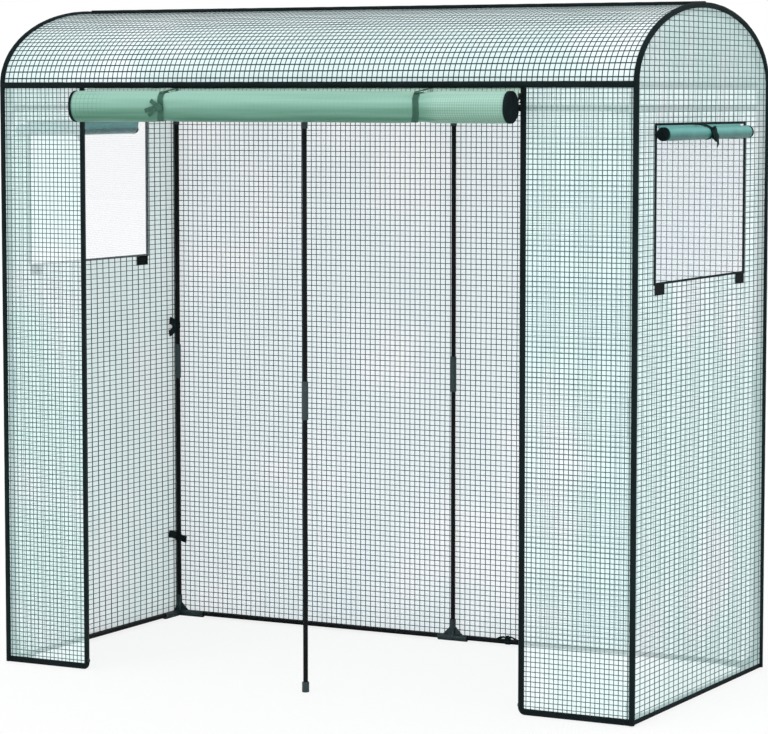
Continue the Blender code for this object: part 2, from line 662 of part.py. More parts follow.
def make_window_roll(end):
    """A window flap, rolled up over its window, with the tie round it."""
    name = f"window_roll_{end}"
    sign = SIDE[end]
    facing = plane_matrix((sign, 0, 0), (0, 0, 1))
    middle = (WINDOW_ROLL_GAP + WINDOW_ROLL_R, -WINDOW_ROLL_DROP)
    lead = WINDOW_TAPE_THICKNESS / 2 + SEAM_GAP + WINDOW_ROLL_LAYER / 2
    anchor = (lead, WINDOW_TAPE_WIDTH - TUCK)
    radius = WINDOW_ROLL_R - WINDOW_ROLL_LAYER / 2
    line = roll_line(anchor, middle, radius, WINDOW_ROLL_PITCH, WINDOW_ROLL_CORE_R)
    front, back = WINDOW_FRONT - WINDOW_ROLL_FRONT, WINDOW_BACK + WINDOW_ROLL_BACK
    roll = flat(name, [ribbon(line, WINDOW_ROLL_LAYER)], back - front, facing)
    centre = (front + back) / 2
    tie_y = (WINDOW_FRONT + WINDOW_BACK) / 2 + WINDOW_TIE_OFFSET - centre
    beside = plane_matrix((sign, 0, 0), (0, 0, 1), (0, tie_y, 0))
    ring_turns = [2 * math.pi * step / ROLL_STEPS for step in range(ROLL_STEPS)]
    hug = WINDOW_ROLL_R - WINDOW_ROLL_LAYER / 2
    inner = [on_circle(middle, hug, turn) for turn in ring_turns]
    outer = [on_circle(middle, WINDOW_ROLL_R + TIE_THICKNESS, turn) for turn in ring_turns]
    ring = flat(f"{name}_tie", [outer, inner], WINDOW_TIE_WIDTH, beside)
    node(name, [roll, ring], WINDOW_TEAL, (sign * FILM_X, centre, WINDOW_TOP))


def make_window_net(end):
    """The insect net behind a window, as a flat lattice that covers about as much as its threads."""
    sign = SIDE[end]
    facing = plane_matrix((0, 1, 0), (0, 0, 1))
    border = WINDOW_TAPE_WIDTH - TUCK
    width, height = WINDOW_BACK - WINDOW_FRONT, WINDOW_HEIGHT
    loops = [rectangle(-border, -border, width + border, height + border)]
    step_u = (width + NET_BAR) / NET_COLUMNS
    step_v = (height + NET_BAR) / NET_ROWS
    for column in range(NET_COLUMNS):
        for row in range(NET_ROWS):
            u, v = column * step_u, row * step_v
            loops.append(rectangle(u, v, u + step_u - NET_BAR, v + step_v - NET_BAR))
    inside = WINDOW_TAPE_THICKNESS / 2 + SEAM_GAP + NET_THICKNESS / 2
    net = flat(f"window_net_{end}", loops, NET_THICKNESS, facing)
    node(f"window_net_{end}", [net], NET_WHITE, (sign * (FILM_X - inside), WINDOW_FRONT, WINDOW_SILL))


def zip_x(end):
    """The middle of the zip teeth beside the doorway."""
    edge = {"left": DOOR_LEFT, "right": DOOR_RIGHT}[end]
    return edge - SIDE[end] * (ZIP_PROUD - ZIP_BEAD / 2)


def make_slider(end):
    """A zip slider round the teeth, with two ears and a pin for its pull. Its origin is on the pin."""
    name = f"zip_slider_{end}"
    sign = SIDE[end]
    x = zip_x(end)
    face, rear = PIN_STANDOFF, PIN_STANDOFF + SLIDER_FRONT + SLIDER_BACK
    film = PIN_STANDOFF + SLIDER_FRONT
    top, bottom = PIN_DROP, PIN_DROP - SLIDER_HEIGHT
    half = SLIDER_WIDTH / 2
    body = box(name, (-half, face, bottom), (half, rear, top))
    ears = []
    ear_inner = PULL_NECK / 2 + SLIDER_CLEARANCE + FIT_GAP / 3
    for number, way in enumerate((-1, 1)):
        ends = sorted((way * ear_inner, way * (ear_inner + EAR_THICKNESS)))
        low = (ends[0], -EAR_REACH, -PULL_EYE_R)
        high = (ends[1], face + TUCK, PULL_EYE_R)
        ears.append(box(f"{name}_ear_{number}", low, high))
    reach = ear_inner + EAR_THICKNESS / 2
    pin = rod(f"{name}_pin", (-reach, 0, 0), (reach, 0, 0), PIN_R)
    teeth = ZIP_BEAD / 2 + SLIDER_CLEARANCE
    low, high = bottom - TUCK, top + TUCK
    channel = box(f"{name}_channel", (-teeth, film - teeth, low), (teeth, film + teeth, high))
    slot_half = HEM_THICKNESS / 2 + SLIDER_CLEARANCE
    across = sorted((0, sign * (half + TUCK)))
    low, high = low - TUCK, high + TUCK
    slot = box(f"{name}_slot", (across[0], film - slot_half, low), (across[1], film + slot_half, high))
    node(name, [body, *ears, pin], ZIP_METAL, (x, PIN_Y, PIN_Z), [channel, slot])


def make_pull(end):
    """The pull that hangs from a slider's pin: an eye, a neck and a blade with a slot."""
    name = f"zip_pull_{end}"
    upright = plane_matrix((1, 0, 0), (0, 0, 1))
    sideways = plane_matrix((0, 1, 0), (0, 0, 1))
    turns = [2 * math.pi * step / TUBE_SIDES for step in range(TUBE_SIDES)]
    outer = [on_circle((0, 0), PULL_EYE_R, turn) for turn in turns]
    inner = [on_circle((0, 0), PULL_EYE_BORE_R, turn) for turn in turns]
    eye = flat(name, [outer, inner], PULL_NECK, sideways)
    neck_top = -(PULL_EYE_R + PULL_EYE_BORE_R) / 2
    half, neck = PULL_WIDTH / 2, PULL_NECK / 2 - TUCK / 8
    blade = [
        (-neck, neck_top), (neck, neck_top), (neck, -PULL_SHOULDER + neck), (half, -PULL_SHOULDER - TUCK),
        (half, TUCK - PULL_LENGTH), (half - TUCK, -PULL_LENGTH), (TUCK - half, -PULL_LENGTH),
        (-half, TUCK - PULL_LENGTH), (-half, -PULL_SHOULDER - TUCK), (-neck, -PULL_SHOULDER + neck),
    ]
    hole_top, hole_bottom = -PULL_LENGTH * 0.55, -PULL_LENGTH * 0.85
    hole = rectangle(-half * 0.45, hole_bottom, half * 0.45, hole_top)
    plate = flat(f"{name}_blade", [blade, hole], PULL_THICKNESS, upright)
    node(name, [eye, plate], ZIP_METAL, (zip_x(end), PIN_Y, PIN_Z))


def main():
    make_frame()
    make_roof()
    make_back()
    make_door_roll()
    for end in SIDE:
        make_side(end)
        make_front(end)
        make_door_tie(end)
        make_window_roll(end)
        make_window_net(end)
        make_slider(end)
        make_pull(end)


main()
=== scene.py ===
import json
import math

import bmesh
import bpy
from bpy.props import FloatProperty, FloatVectorProperty, PointerProperty
from mathutils import Matrix, Vector


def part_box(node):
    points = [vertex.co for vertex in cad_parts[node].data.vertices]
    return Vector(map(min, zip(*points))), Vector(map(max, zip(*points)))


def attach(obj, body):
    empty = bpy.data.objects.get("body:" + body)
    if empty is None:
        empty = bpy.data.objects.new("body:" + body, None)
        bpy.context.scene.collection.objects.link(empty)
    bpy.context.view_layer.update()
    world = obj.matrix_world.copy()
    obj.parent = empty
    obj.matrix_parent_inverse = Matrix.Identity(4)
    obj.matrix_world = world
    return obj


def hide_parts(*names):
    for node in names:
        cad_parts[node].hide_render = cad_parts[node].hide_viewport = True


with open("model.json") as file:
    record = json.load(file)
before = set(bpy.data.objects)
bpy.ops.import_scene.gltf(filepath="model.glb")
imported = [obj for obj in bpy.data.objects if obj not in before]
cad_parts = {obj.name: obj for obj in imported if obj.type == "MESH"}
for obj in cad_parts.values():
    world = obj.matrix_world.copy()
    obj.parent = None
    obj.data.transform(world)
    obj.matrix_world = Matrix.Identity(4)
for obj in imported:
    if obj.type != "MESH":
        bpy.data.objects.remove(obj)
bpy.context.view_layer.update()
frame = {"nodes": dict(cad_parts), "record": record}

bl_info = {
    "name": "Plastic greenhouse",
    "version": (1, 0, 0),
    "blender": (4, 5, 0),
    "location": "View3D > Sidebar > Greenhouse",
    "description": "Dresses the walk-in greenhouse frame with its film cover, rolled flaps, nets and ties",
    "category": "Object",
}

BODY = "greenhouse"
SIDE = {"left": -1, "right": 1}

# The cover's own sizes, in metres. X runs along the ridge, the doorway faces -Y.
CENTRE_Y = 0.04675
FILM_X = 0.8945
HALF_DEPTH = 0.4245
FRONT_Y = CENTRE_Y - HALF_DEPTH
BACK_Y = CENTRE_Y + HALF_DEPTH
EAVE = 1.52
RISE = 0.1945
SEAM_GAP = 0.0003
PIPING_R = 0.0055
EAVE_PIPING_R, RIDGE_PIPING_R, CORNER_PIPING_R, ARCH_PIPING_R = 0.0078, 0.0066, 0.0067, 0.0070
FLOOR_GAP = 0.002
FILM_BOTTOM = FLOOR_GAP + 0.001
ROOF_EDGE = 0.004  # from the eave's line to the roof film's cut edge, under the piping
HEM_WIDTH, HEM_THICKNESS = 0.012, 0.0018
DOORWAY_BINDING = 0.0160
BINDING_TUCK = 0.0065  # from a front binding's outer edge to the film's edge inside it
DOOR = {"left": -0.640, "right": 0.596}
DOOR_CORNER_R = 0.010
PANEL_X = FILM_X - PIPING_R - SEAM_GAP
PANEL_TOP = EAVE - PIPING_R - SEAM_GAP

WINDOW_FRONT, WINDOW_BACK = -0.25625, 0.31575
WINDOW_SILL, WINDOW_TOP = 1.049, 1.423
FRAME_LAP = 0.003  # the end film stops this far outside the window, under its binding
UPRIGHT_TAPE, LEVEL_TAPE = 0.0125, 0.0058  # the window's binding shows wider at its sides
NET_X, NET_BORDER = 0.8925, 0.004

DOOR_ROLL_R = 0.0375
DOOR_ROLL_MIDDLE = (0.0495, -0.0555)  # outward from the film and up from the eave
DOOR_ROLL_ENDS = (-0.635, 0.598)
DOOR_ROLL_BOUND = 0.0065  # how much of each end the binding covers
WINDOW_ROLL_R = 0.017
WINDOW_ROLL_ENDS = (-0.26825, 0.28575)
WINDOW_ROLL_BOUND = 0.008
WINDOW_TIE_Y = 0.012
ROLL_STEPS = 40

TIE_X, TIE_THICKNESS = 0.359, 0.0011
TAPE_LIFT = 0.0008  # from a tube or the door's roll to the middle of the tape round it
ZIP_X = {"left": -0.641, "right": 0.597}
ZIP_START = 0.0255
TUBE_X, TUBE_BACK_Y, TUBE_R = 0.8827, 0.45945, 0.006
BASE_Z = 0.00955


# Colour and material tools

def linear(code):
    """An sRGB hex colour as linear red, green and blue. A colour that is linear already stays as it is."""
    if not isinstance(code, str):
        return tuple(code)
    values = [int(code[i:i + 2], 16) / 255 for i in (1, 3, 5)]
    return tuple(v / 12.92 if v <= 0.04045 else ((v + 0.055) / 1.055) ** 2.4 for v in values)


def darker(color):
    return tuple(value * 0.7 for value in linear(color))


def wire(tree, node, *values, **named):
    """Feeds a node's open inputs in order, then those named with a capital. Other names are its settings.

    Each input takes a value, a colour, or the node or output that feeds it.
    """
    pairs = list(zip([socket for socket in node.inputs if socket.enabled], values))
    for key, value in named.items():
        if key[0].islower():
            setattr(node, key, value)
        else:
            pairs.append((node.inputs[key.replace("_", " ")], value))
    for socket, value in pairs:
        if isinstance(value, bpy.types.Node):
            value = next(output for output in value.outputs if output.enabled)
        if isinstance(value, bpy.types.NodeSocket):
            tree.links.new(value, socket)
        else:
            socket.default_value = (*linear(value), 1) if socket.type == "RGBA" else value


CHOICES = {"Math": "operation", "MapRange": "interpolation_type", "Mix": "data_type"}


def add(tree, kind, *values, **named):
    """Adds a shader node. A word after its kind is its operation, its interpolation or what it mixes."""
    kind, _, choice = kind.partition(" ")
    node = tree.nodes.new("ShaderNode" + kind)
    if choice:
        setattr(node, CHOICES[kind], choice)
    wire(tree, node, *values, **named)
    return node


def start_material(name, color, roughness, specular=0.5, **sockets):
    """A material with one principled shader. Returns it with its tree and its shader."""
    material = bpy.data.materials.new(name)
    material.use_nodes = True
    tree = material.node_tree
    shader = tree.nodes["Principled BSDF"]
    wire(tree, shader, Base_Color=color, Roughness=roughness, Specular_IOR_Level=specular, **sockets)
    return material, tree, shader


def on_object(tree, scale=(1, 1, 1)):
    """The place on the piece, in metres, stretched by a scale."""
    return add(tree, "Mapping", Vector=add(tree, "TexCoord").outputs["Object"], Scale=scale)


def grid_lines(tree, along, across, pitch, width):
    """1 on both families of a square grid's thin lines, which repeat every pitch metres, else 0."""
    families = []
    for value in (along, across):
        folded = add(tree, "Math PINGPONG", value, pitch / 2)
        families.append(add(tree, "Math LESS_THAN", folded, width / 2))
    return add(tree, "Math MAXIMUM", *families)


# Materials

def two_tone(name, base, gloss, tones, clouds, levels=None, dull=None, grain=None, relief=None,
             stretch=(1, 1, 1), metal=False, **sockets):
    """A material whose colour drifts between two tones in clouds.

    gloss is its roughness and specular level. Levels pull the tones apart, up to the last one's share,
    and dull is how rough each tone then is. relief is how deep and how strongly the grain stands out.
    """
    material, tree, shader = start_material(name, base, *gloss, **sockets)
    part = height = add(tree, "TexNoise", Vector=on_object(tree, stretch), **clouds)
    if levels:
        low, high, top = levels
        part = add(tree, "MapRange SMOOTHSTEP", part, low, high, 0.0, top)
        wire(tree, shader, Roughness=add(tree, "MapRange", part, 0.0, top, *dull))
    if metal:
        wire(tree, shader, Metallic=part)
    wire(tree, shader, Base_Color=add(tree, "Mix RGBA", part, *tones))
    if grain:
        height = add(tree, "TexNoise", Vector=on_object(tree), **grain)
    if relief:
        wire(tree, shader, Normal=add(tree, "Bump", Height=height, Distance=relief[0], Strength=relief[1]))
    return material


def polyethylene_film(name, color, alpha, cast="#f3fdff"):
    """Clear laminated polyethylene: milky, softly glossy, faintly cyan, and whiter in places."""
    material, tree, shader = start_material(name, color, 0.3, 0.35, Alpha=alpha)
    place = on_object(tree)
    # The cast drifts over 0.3 to 0.6 m, as light does in stretched film.
    drift = add(tree, "TexNoise", Vector=place, Scale=2.6, Detail=2.0)
    tint = add(tree, "Mix RGBA", add(tree, "MapRange SMOOTHSTEP", drift, 0.48, 0.70), color, cast)
    # Packing folds of 60 to 120 mm and crinkles of 12 mm; the real ones are sharper but as shallow.
    folds = add(tree, "TexNoise", Vector=on_object(tree, (1.0, 1.0, 0.35)), Scale=11.0, Detail=3.0)
    crinkle = add(tree, "TexNoise", Vector=place, Scale=80.0)
    height = add(tree, "Math MULTIPLY_ADD", crinkle, 0.12, folds)
    shape = add(tree, "Bump", Height=height, Distance=0.004, Strength=0.45)
    wire(tree, shader, Base_Color=tint, Normal=shape)
    return material


def scrim_thread(name, color, alpha):
    """Polyester scrim laminated in the film: dull slate threads, darker where they take up dye."""
    return two_tone(name, color, (0.6, 0.2), (darker(color), color), dict(Scale=30.0, Detail=1.0),
                    Alpha=alpha)


def woven_tape(name, color, stitch, rib=0.0014):
    """Woven polyester binding: matt, finely ribbed across, with a row of lockstitch 2 mm from each edge."""
    material, tree, shader = start_material(name, color, 0.9, 0.15)
    vector = add(tree, "TexCoord").outputs["UV"]
    along, across = add(tree, "SeparateXYZ", vector).outputs[:2]
    # The ribs are 0.7 mm apart in the real tape, and are drawn twice as coarse so that they show.
    ribs = add(tree, "Math SINE", add(tree, "Math MULTIPLY", along, 2 * math.pi / rib))
    stretched = add(tree, "Mapping", Vector=vector, Scale=(900, 2600, 1))
    yarn = add(tree, "TexNoise", Vector=stretched, Scale=1.0, Detail=1.0)
    # Stitches of 2.5 mm with 1.3 mm between them.
    dash = add(tree, "Math LESS_THAN", add(tree, "Math PINGPONG", along, 0.0019), 0.00125)
    row = add(tree, "Math COMPARE", across, 0.002, 0.0004)
    stitched = add(tree, "Math MULTIPLY", dash, row)
    patches = add(tree, "TexNoise", Vector=on_object(tree), Scale=14.0, Detail=2.0)
    tone = add(tree, "MapRange SMOOTHSTEP", patches, 0.35, 0.7)
    cloth = add(tree, "Mix RGBA", tone, darker(color), color)
    fuzz = add(tree, "Math MULTIPLY", yarn, 0.5)
    weave = add(tree, "Math MULTIPLY_ADD", ribs, 0.35, fuzz)
    height = add(tree, "Math MULTIPLY_ADD", stitched, 1.6, weave)
    shape = add(tree, "Bump", Height=height, Distance=0.0003, Strength=0.8)
    wire(tree, shader, Base_Color=add(tree, "Mix RGBA", stitched, cloth, stitch), Normal=shape)
    return material


def rolled_film(name, lower, upper, shade, bottom, top, mottle, crease, grid_until=-9.0, pale_from=9.0):
    """The same film rolled up: layers turn it opaque green, with painted shade underneath and painted light
    on top.
    """
    material, tree, shader = start_material(name, lower, 0.33, 0.2)
    along, across = add(tree, "SeparateXYZ", add(tree, "TexCoord").outputs["UV"]).outputs[:2]
    place = add(tree, "SeparateXYZ", add(tree, "TexCoord").outputs["Object"])
    x, z = place.outputs[0], place.outputs[2]
    # Painted shade and light: from bottom to top the colour goes from the lower, shaded tone to the upper,
    # lit tone.
    rise = add(tree, "MapRange SMOOTHSTEP", z, bottom, top)
    # Bands along the roll where the layers lie closer or wider, 20 to 60 mm across, which also move the
    # painted shade up and down.
    bands = add(tree, "TexNoise", Vector=on_object(tree, (1.6, 34.0, 34.0)), Scale=1.0, Detail=3.0)
    spread = add(tree, "Math MULTIPLY_ADD", bands, mottle, -mottle / 2)
    body = add(tree, "Mix RGBA", add(tree, "Math ADD", rise, spread, use_clamp=True), lower, upper)
    # The grid shows where few layers lie over it, at one end.
    grid = grid_lines(tree, along, across, 0.0125, 0.0013)
    seen = add(tree, "MapRange", x, grid_until - 0.03, grid_until + 0.02, 0.42, 0.07)
    body = add(tree, "Mix RGBA", add(tree, "Math MULTIPLY", grid, seen), body, shade)
    # At the other end the light comes through, with a fine pale grid.
    pale = add(tree, "MapRange SMOOTHSTEP", x, pale_from, pale_from + 0.05)
    body = add(tree, "Mix RGBA", add(tree, "Math MULTIPLY", pale, 0.08), body, "#b4d8c6")
    fine = grid_lines(tree, along, across, 0.0063, 0.0016)
    lit = add(tree, "Math MULTIPLY", fine, add(tree, "Math MULTIPLY", pale, 0.24))
    body = add(tree, "Mix RGBA", lit, body, "#d8ece2")
    creases = add(tree, "TexNoise", Vector=on_object(tree, (7.0, 60.0, 60.0)), Scale=1.0, Detail=3.0,
                  Roughness=0.6)
    height = add(tree, "Math MULTIPLY_ADD", grid, 0.1, creases)
    shape = add(tree, "Bump", Height=height, Distance=crease, Strength=0.5)
    wire(tree, shader, Base_Color=body, Normal=shape)
    return material


def powder_coated_steel():
    """Black powder coat on steel tube: near black, half gloss, with a fine orange peel.

    The peel is about 0.8 mm, and is drawn at 1.6 mm so that it shows.
    """
    return two_tone("powder_coated_steel", "#070b0d", (0.5, 0.12), ("#05080a", "#131a1d"),
                    dict(Scale=26.0, Detail=4.0), (0.46, 0.74, 0.3), (0.46, 0.6), dict(Scale=620.0),
                    (0.00022, 0.6), (1, 1, 0.5))


def moulded_polypropylene(name, color, light):
    """Injection-moulded polypropylene: waxy, slate green, with an eroded grain and paler rubbed places.

    The spark-eroded grain is 0.3 mm, and is drawn at 1 mm so that it shows.
    """
    return two_tone(name, color, (0.46, 0.4), (color, light), dict(Scale=85.0, Detail=4.0, Roughness=0.62),
                    (0.52, 0.78, 0.6), (0.40, 0.58), dict(Scale=1000.0, Roughness=0.6), (0.0003, 0.5))


def enamelled_zinc():
    """Die-cast zinc under black enamel: hard gloss, with grey metal showing at scuffs."""
    return two_tone("enamelled_zinc", "#16191b", (0.3,), ("#15181a", "#7d8384"),
                    dict(Scale=420.0, Detail=3.0, Roughness=0.6), (0.60, 0.72, 1.0), (0.26, 0.45),
                    dict(Scale=900.0, Detail=1.0), (0.0001, 0.4), metal=True)


def acetal_teeth():
    """Moulded acetal zip teeth: black, slick, each a little scuffed."""
    return two_tone("acetal_zip_teeth", "#14181a", (0.32,), ("#0e1213", "#23292b"), dict(Scale=380.0),
                    grain=dict(Scale=1500.0, Detail=1.0), relief=(0.0001, 0.4))


def insect_net(name, alpha):
    """Knitted polyethylene net: pale lavender monofilament, so fine that it is mostly a haze."""
    return two_tone(name, "#eff5ff", (0.5, 0.2), ("#e9effc", "#f5faff"), dict(Scale=22.0), Alpha=alpha)


def hook_and_loop(name):
    """Woven hook-and-loop patch: black pile that scatters light."""
    return two_tone(name, "#0f1315", (0.95, 0.1), ("#080a0b", "#1c2224"),
                    dict(Scale=900.0, Detail=3.0, Roughness=0.7), relief=(0.0008, 0.8))


# Mesh tools for cloth, film and sewn trim

def build(name, verts, faces, material, uvs=None, smooth=True, solid=False, weld=False):
    """A mesh piece at the origin, with a UV in metres for each vertex, riding on the greenhouse.

    A solid one has its faces turned outwards. A welded one has its doubled vertices merged as well.
    """
    mesh = bpy.data.meshes.new(name)
    mesh.from_pydata([tuple(v) for v in verts], [], faces)
    if uvs:
        layer = mesh.uv_layers.new(name="UVMap")
        for loop in mesh.loops:
            layer.data[loop.index].uv = uvs[loop.vertex_index]
    if solid or weld:
        shell = bmesh.new()
        shell.from_mesh(mesh)
        if weld:
            bmesh.ops.remove_doubles(shell, verts=shell.verts, dist=1e-6)
        bmesh.ops.recalc_face_normals(shell, faces=shell.faces)
        shell.to_mesh(mesh)
        shell.free()
    mesh.polygons.foreach_set("use_smooth", [smooth] * len(mesh.polygons))
    mesh.materials.append(material)
    piece = bpy.data.objects.new(name, mesh)
    bpy.context.scene.collection.objects.link(piece)
    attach(piece, BODY)
    return piece


def ring_faces(first, rings, size, closed=False):
    """The faces from ring to ring, from vertex first on, with a cap at both ends if it isn't closed."""
    faces = []
    for i in range(rings if closed else rings - 1):
        here, after = first + i * size, first + (i + 1) % rings * size
        for j in range(size):
            k = (j + 1) % size
            faces.append((here + j, here + k, after + k, after + j))
    if not closed:
        last = first + (rings - 1) * size
        faces += [tuple(range(first, first + size))[::-1], tuple(range(last, last + size))]
    return faces


def distances(path):
    """How far along a path each of its points lies."""
    runs = [0.0]
    for before, after in zip(path, path[1:]):
        runs.append(runs[-1] + (after - before).length)
    return runs


def pick(*pieces):
    """Makes pieces the only selected ones, and the first of them active."""
    bpy.ops.object.select_all(action="DESELECT")
    for piece in pieces:
        piece.select_set(True)
    bpy.context.view_layer.objects.active = pieces[0]


def bend_edges(piece, degrees=35):
    """Smooth shading with the sharper edges kept."""
    pick(piece)
    bpy.ops.object.shade_smooth_by_angle(angle=math.radians(degrees))


def thicken(piece, thickness):
    """Gives a sheet its thickness, centred on the sheet."""
    pick(piece)
    wall = piece.modifiers.new("thickness", "SOLIDIFY")
    wall.thickness, wall.offset = thickness, 0
    bpy.ops.object.modifier_apply(modifier=wall.name)


def join(name, parts):
    """Several pieces made one."""
    pick(*parts)
    bpy.ops.object.join()
    parts[0].name = parts[0].data.name = name
    return parts[0]


def ripple(a, b, seed):
    """A smooth wandering height between about -1 and 1."""
    return (
        0.42 * math.sin(5.1 * a + 2.3 * b + seed) + 0.27 * math.sin(-7.9 * b + 3.7 * a + 2.1 * seed)
        + 0.19 * math.sin(13.7 * a - 9.1 * b + 0.7 * seed) + 0.12 * math.sin(21.3 * b + 17.9 * a + 1.3 * seed)
    )


def fade(distance, reach=0.07):
    """0 at a seam, rising softly to 1 at reach metres from it."""
    t = max(0.0, min(1.0, distance / reach))
    return t * t * (3 - 2 * t)


def span(low, high, count):
    return [low + (high - low) * i / count for i in range(count + 1)]


def seam_span(low, high, step=0.055):
    """Places from one seam to the next, closer together by the seams, where the film rises off them."""
    near = [d for d in (0.014, 0.030, 0.050, 0.074) if d < (high - low) / 2.2]
    start, stop = low + near[-1], high - near[-1]
    middle = span(start, stop, max(1, round((stop - start) / step)))
    return [low, *[low + d for d in near[:-1]], *middle, *[high - d for d in reversed(near[:-1])], high]


def arch_top(y):
    """The roof line's height over a place across the greenhouse."""
    part = max(-1.0, min(1.0, (y - CENTRE_Y) / HALF_DEPTH))
    return EAVE + RISE * math.sqrt(1 - part * part)

def around(count):
    """The turns of so many points round a circle."""
    return span(0, 2 * math.pi, count)[:-1]


def on_roof(turn):
    """The place across and up at a turn of the roof's half ellipse, from the front eave."""
    return CENTRE_Y - HALF_DEPTH * math.cos(turn), EAVE + RISE * math.sin(turn)


ARC_STEPS = 400
ARC_TURNS = span(0, math.pi, ARC_STEPS)
ARC_RUN = [0.0]
for before, after in zip(ARC_TURNS, ARC_TURNS[1:]):
    ARC_RUN.append(ARC_RUN[-1] + math.dist(on_roof(before), on_roof(after)))
ARC_LENGTH = ARC_RUN[-1]


def arc_turn(run):
    """The ellipse's turn at a distance along the roof, from the front eave."""
    low, high = 0, ARC_STEPS
    while high - low > 1:
        middle = (low + high) // 2
        low, high = (middle, high) if ARC_RUN[middle] <= run else (low, middle)
    part = (run - ARC_RUN[low]) / (ARC_RUN[high] - ARC_RUN[low])
    return ARC_TURNS[low] + (ARC_TURNS[high] - ARC_TURNS[low]) * part


class Surface:
    """A panel of the cover: where a point of the cut film lies, and which way is out.

    The film is cut over columns and rows, and the rows may depend on the column.
    """

    def __init__(self, kind, sign, columns, rows, waviness=0, seed=0, place=None):
        self.kind, self.sign, self.waviness, self.seed = kind, sign, waviness, seed
        self.columns, self.rows = columns, rows if callable(rows) else lambda u: rows
        if place:
            self.place = place

    def place(self, u, v):
        height = self.waviness * ripple(u, v, self.seed)
        if self.kind == "roof":
            seam = min(FILM_X - abs(u), v, ARC_LENGTH - v, abs(v - ARC_LENGTH / 2))
            return Vector((u, *on_roof(arc_turn(v)))) + self.out(u, v) * height * fade(seam)
        if self.kind == "end":
            seam = min(HALF_DEPTH - abs(u - CENTRE_Y), v, arch_top(u) - v)
            away_y = max(WINDOW_FRONT - u, u - WINDOW_BACK, 0.0)
            away_z = max(WINDOW_SILL - v, v - WINDOW_TOP, 0.0)
            seam = min(seam, math.hypot(away_y, away_z))
            return Vector((self.sign * (FILM_X + height * fade(seam)), u, v))
        seam, y = min(FILM_X - abs(u), v, EAVE - v), BACK_Y
        if self.kind == "front":
            seam, y = min(seam, abs(u - DOOR["left" if u < 0 else "right"])), FRONT_Y
        return Vector((u, y + self.sign * height * fade(seam), v))

    def out(self, u, v):
        if self.kind == "roof":
            turn = arc_turn(v)
            return Vector((0, -math.cos(turn) / HALF_DEPTH, math.sin(turn) / RISE)).normalized()
        return Vector((self.sign, 0, 0) if self.kind == "end" else (0, self.sign, 0))


def film_sheet(name, surface, material, skip=None):
    """One cut of film over its surface's columns and rows."""
    columns, rows = surface.columns, surface.rows
    uvs = [(u, v) for u in columns for v in rows(u)]
    verts = [surface.place(u, v) for u, v in uvs]
    high = len(rows(columns[0]))
    faces = []
    for i in range(len(columns) - 1):
        for j in range(high - 1):
            if skip and skip(i, j):
                continue
            a = i * high + j
            faces.append((a, a + high, a + high + 1, a + 1))
    sheet = build(name, verts, faces, material, uvs)
    if sheet.data.polygons[0].normal.dot(surface.out(*uvs[0])) < 0:
        sheet.data.flip_normals()
    loose = bmesh.new()
    loose.from_mesh(sheet.data)
    bmesh.ops.delete(loose, geom=[v for v in loose.verts if not v.link_faces], context="VERTS")
    loose.to_mesh(sheet.data)
    loose.free()
    return sheet


def thread_mesh(name, surface, runs, width, thickness, material):
    """Flat threads in the film, bent where the film is. Each run is (fixed value, from, to, along_u).
    width holds the width of a thread that crosses columns, and of one that crosses rows."""
    verts, faces, uvs = [], [], []
    for fixed, low, high, along_u in runs:
        if high - low < 0.004:
            continue
        bends = surface.columns if along_u else surface.rows(fixed)
        places = [low, *[bend for bend in bends if low + 0.001 < bend < high - 0.001], high]
        spots = [(t, fixed) if along_u else (fixed, t) for t in places]
        points = [surface.place(*spot) for spot in spots]
        wide = width[0] if along_u else width[1]
        faces += ring_faces(len(verts), len(points), 4)
        for i, (t, spot, point) in enumerate(zip(places, spots, points)):
            tangent = points[min(i + 1, len(points) - 1)] - points[max(i - 1, 0)]
            out = surface.out(*spot)
            across = tangent.cross(out).normalized() * wide / 2
            lift = out * thickness / 2
            verts += [point - across - lift, point + across - lift,
                      point + across + lift, point - across + lift]
            uvs += [(t, 0.0), (t, wide), (t, wide + thickness), (t, thickness)]
    return build(name, verts, faces, material, uvs, smooth=False, weld=True)


def pitches(low, high, pitch):
    """The threads' places between two edges, on one grid for the whole cover."""
    first = math.ceil((low + 0.002) / pitch)
    places = []
    while first * pitch < high - 0.002:
        places.append(first * pitch)
        first += 1
    return places


def crossed(across, up, grid, ends):
    """Runs of thread both ways: upright ones from end to end, and level ones all the way across."""
    runs = [(u, *ends, False) for u in pitches(*across, grid[0])]
    return runs + [(v, *across, True) for v in pitches(*up, grid[1])]


def panel(name, surface, runs, cloth, wider=(1, 1), skip=None):
    """A panel's film and the threads in it. name has a place for what each is, and cloth its materials."""
    settings = film_settings()
    film = film_sheet(name.format("film"), surface, cloth[0], skip)
    widths = [settings.thread_width * share for share in wider]
    return film, thread_mesh(name.format("scrim"), surface, runs, widths, settings.thread_thickness, cloth[1])


def sew(slot, stands_for, film, trims, **sheet):
    """Hides the part that a sheet stands for."""
    for piece in (film, *trims):
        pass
    if stands_for:
        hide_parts(stands_for)
    list(trims)


def pipe(name, path, radius, material, seam, sides=16, uneven=0.00012):
    """Round piping along a path, its seam turned one way. The UV runs along, and out from the seam."""
    path = [Vector(p) for p in path]
    verts, uvs = [], []
    for i, (point, run) in enumerate(zip(path, distances(path))):
        tangent = (path[min(i + 1, len(path) - 1)] - path[max(i - 1, 0)]).normalized()
        down = Vector(seam)
        down = down - tangent * down.dot(tangent)
        if down.length < 0.2:
            down = Vector((0, -tangent.z, tangent.y)) if abs(tangent.x) < 0.9 else Vector((0, 0, -1))
        down.normalize()
        beside = tangent.cross(down)
        thick = radius(point) if callable(radius) else radius
        here = thick + uneven * math.sin(run * 83.0) + uneven * math.sin(run * 211.0 + 1)
        for turn in around(sides):
            verts.append(point + (down * math.cos(turn) + beside * math.sin(turn)) * here)
            uvs.append((run, min(turn, 2 * math.pi - turn) * thick))
    return build(name, verts, ring_faces(0, len(path), sides), material, uvs, solid=True)


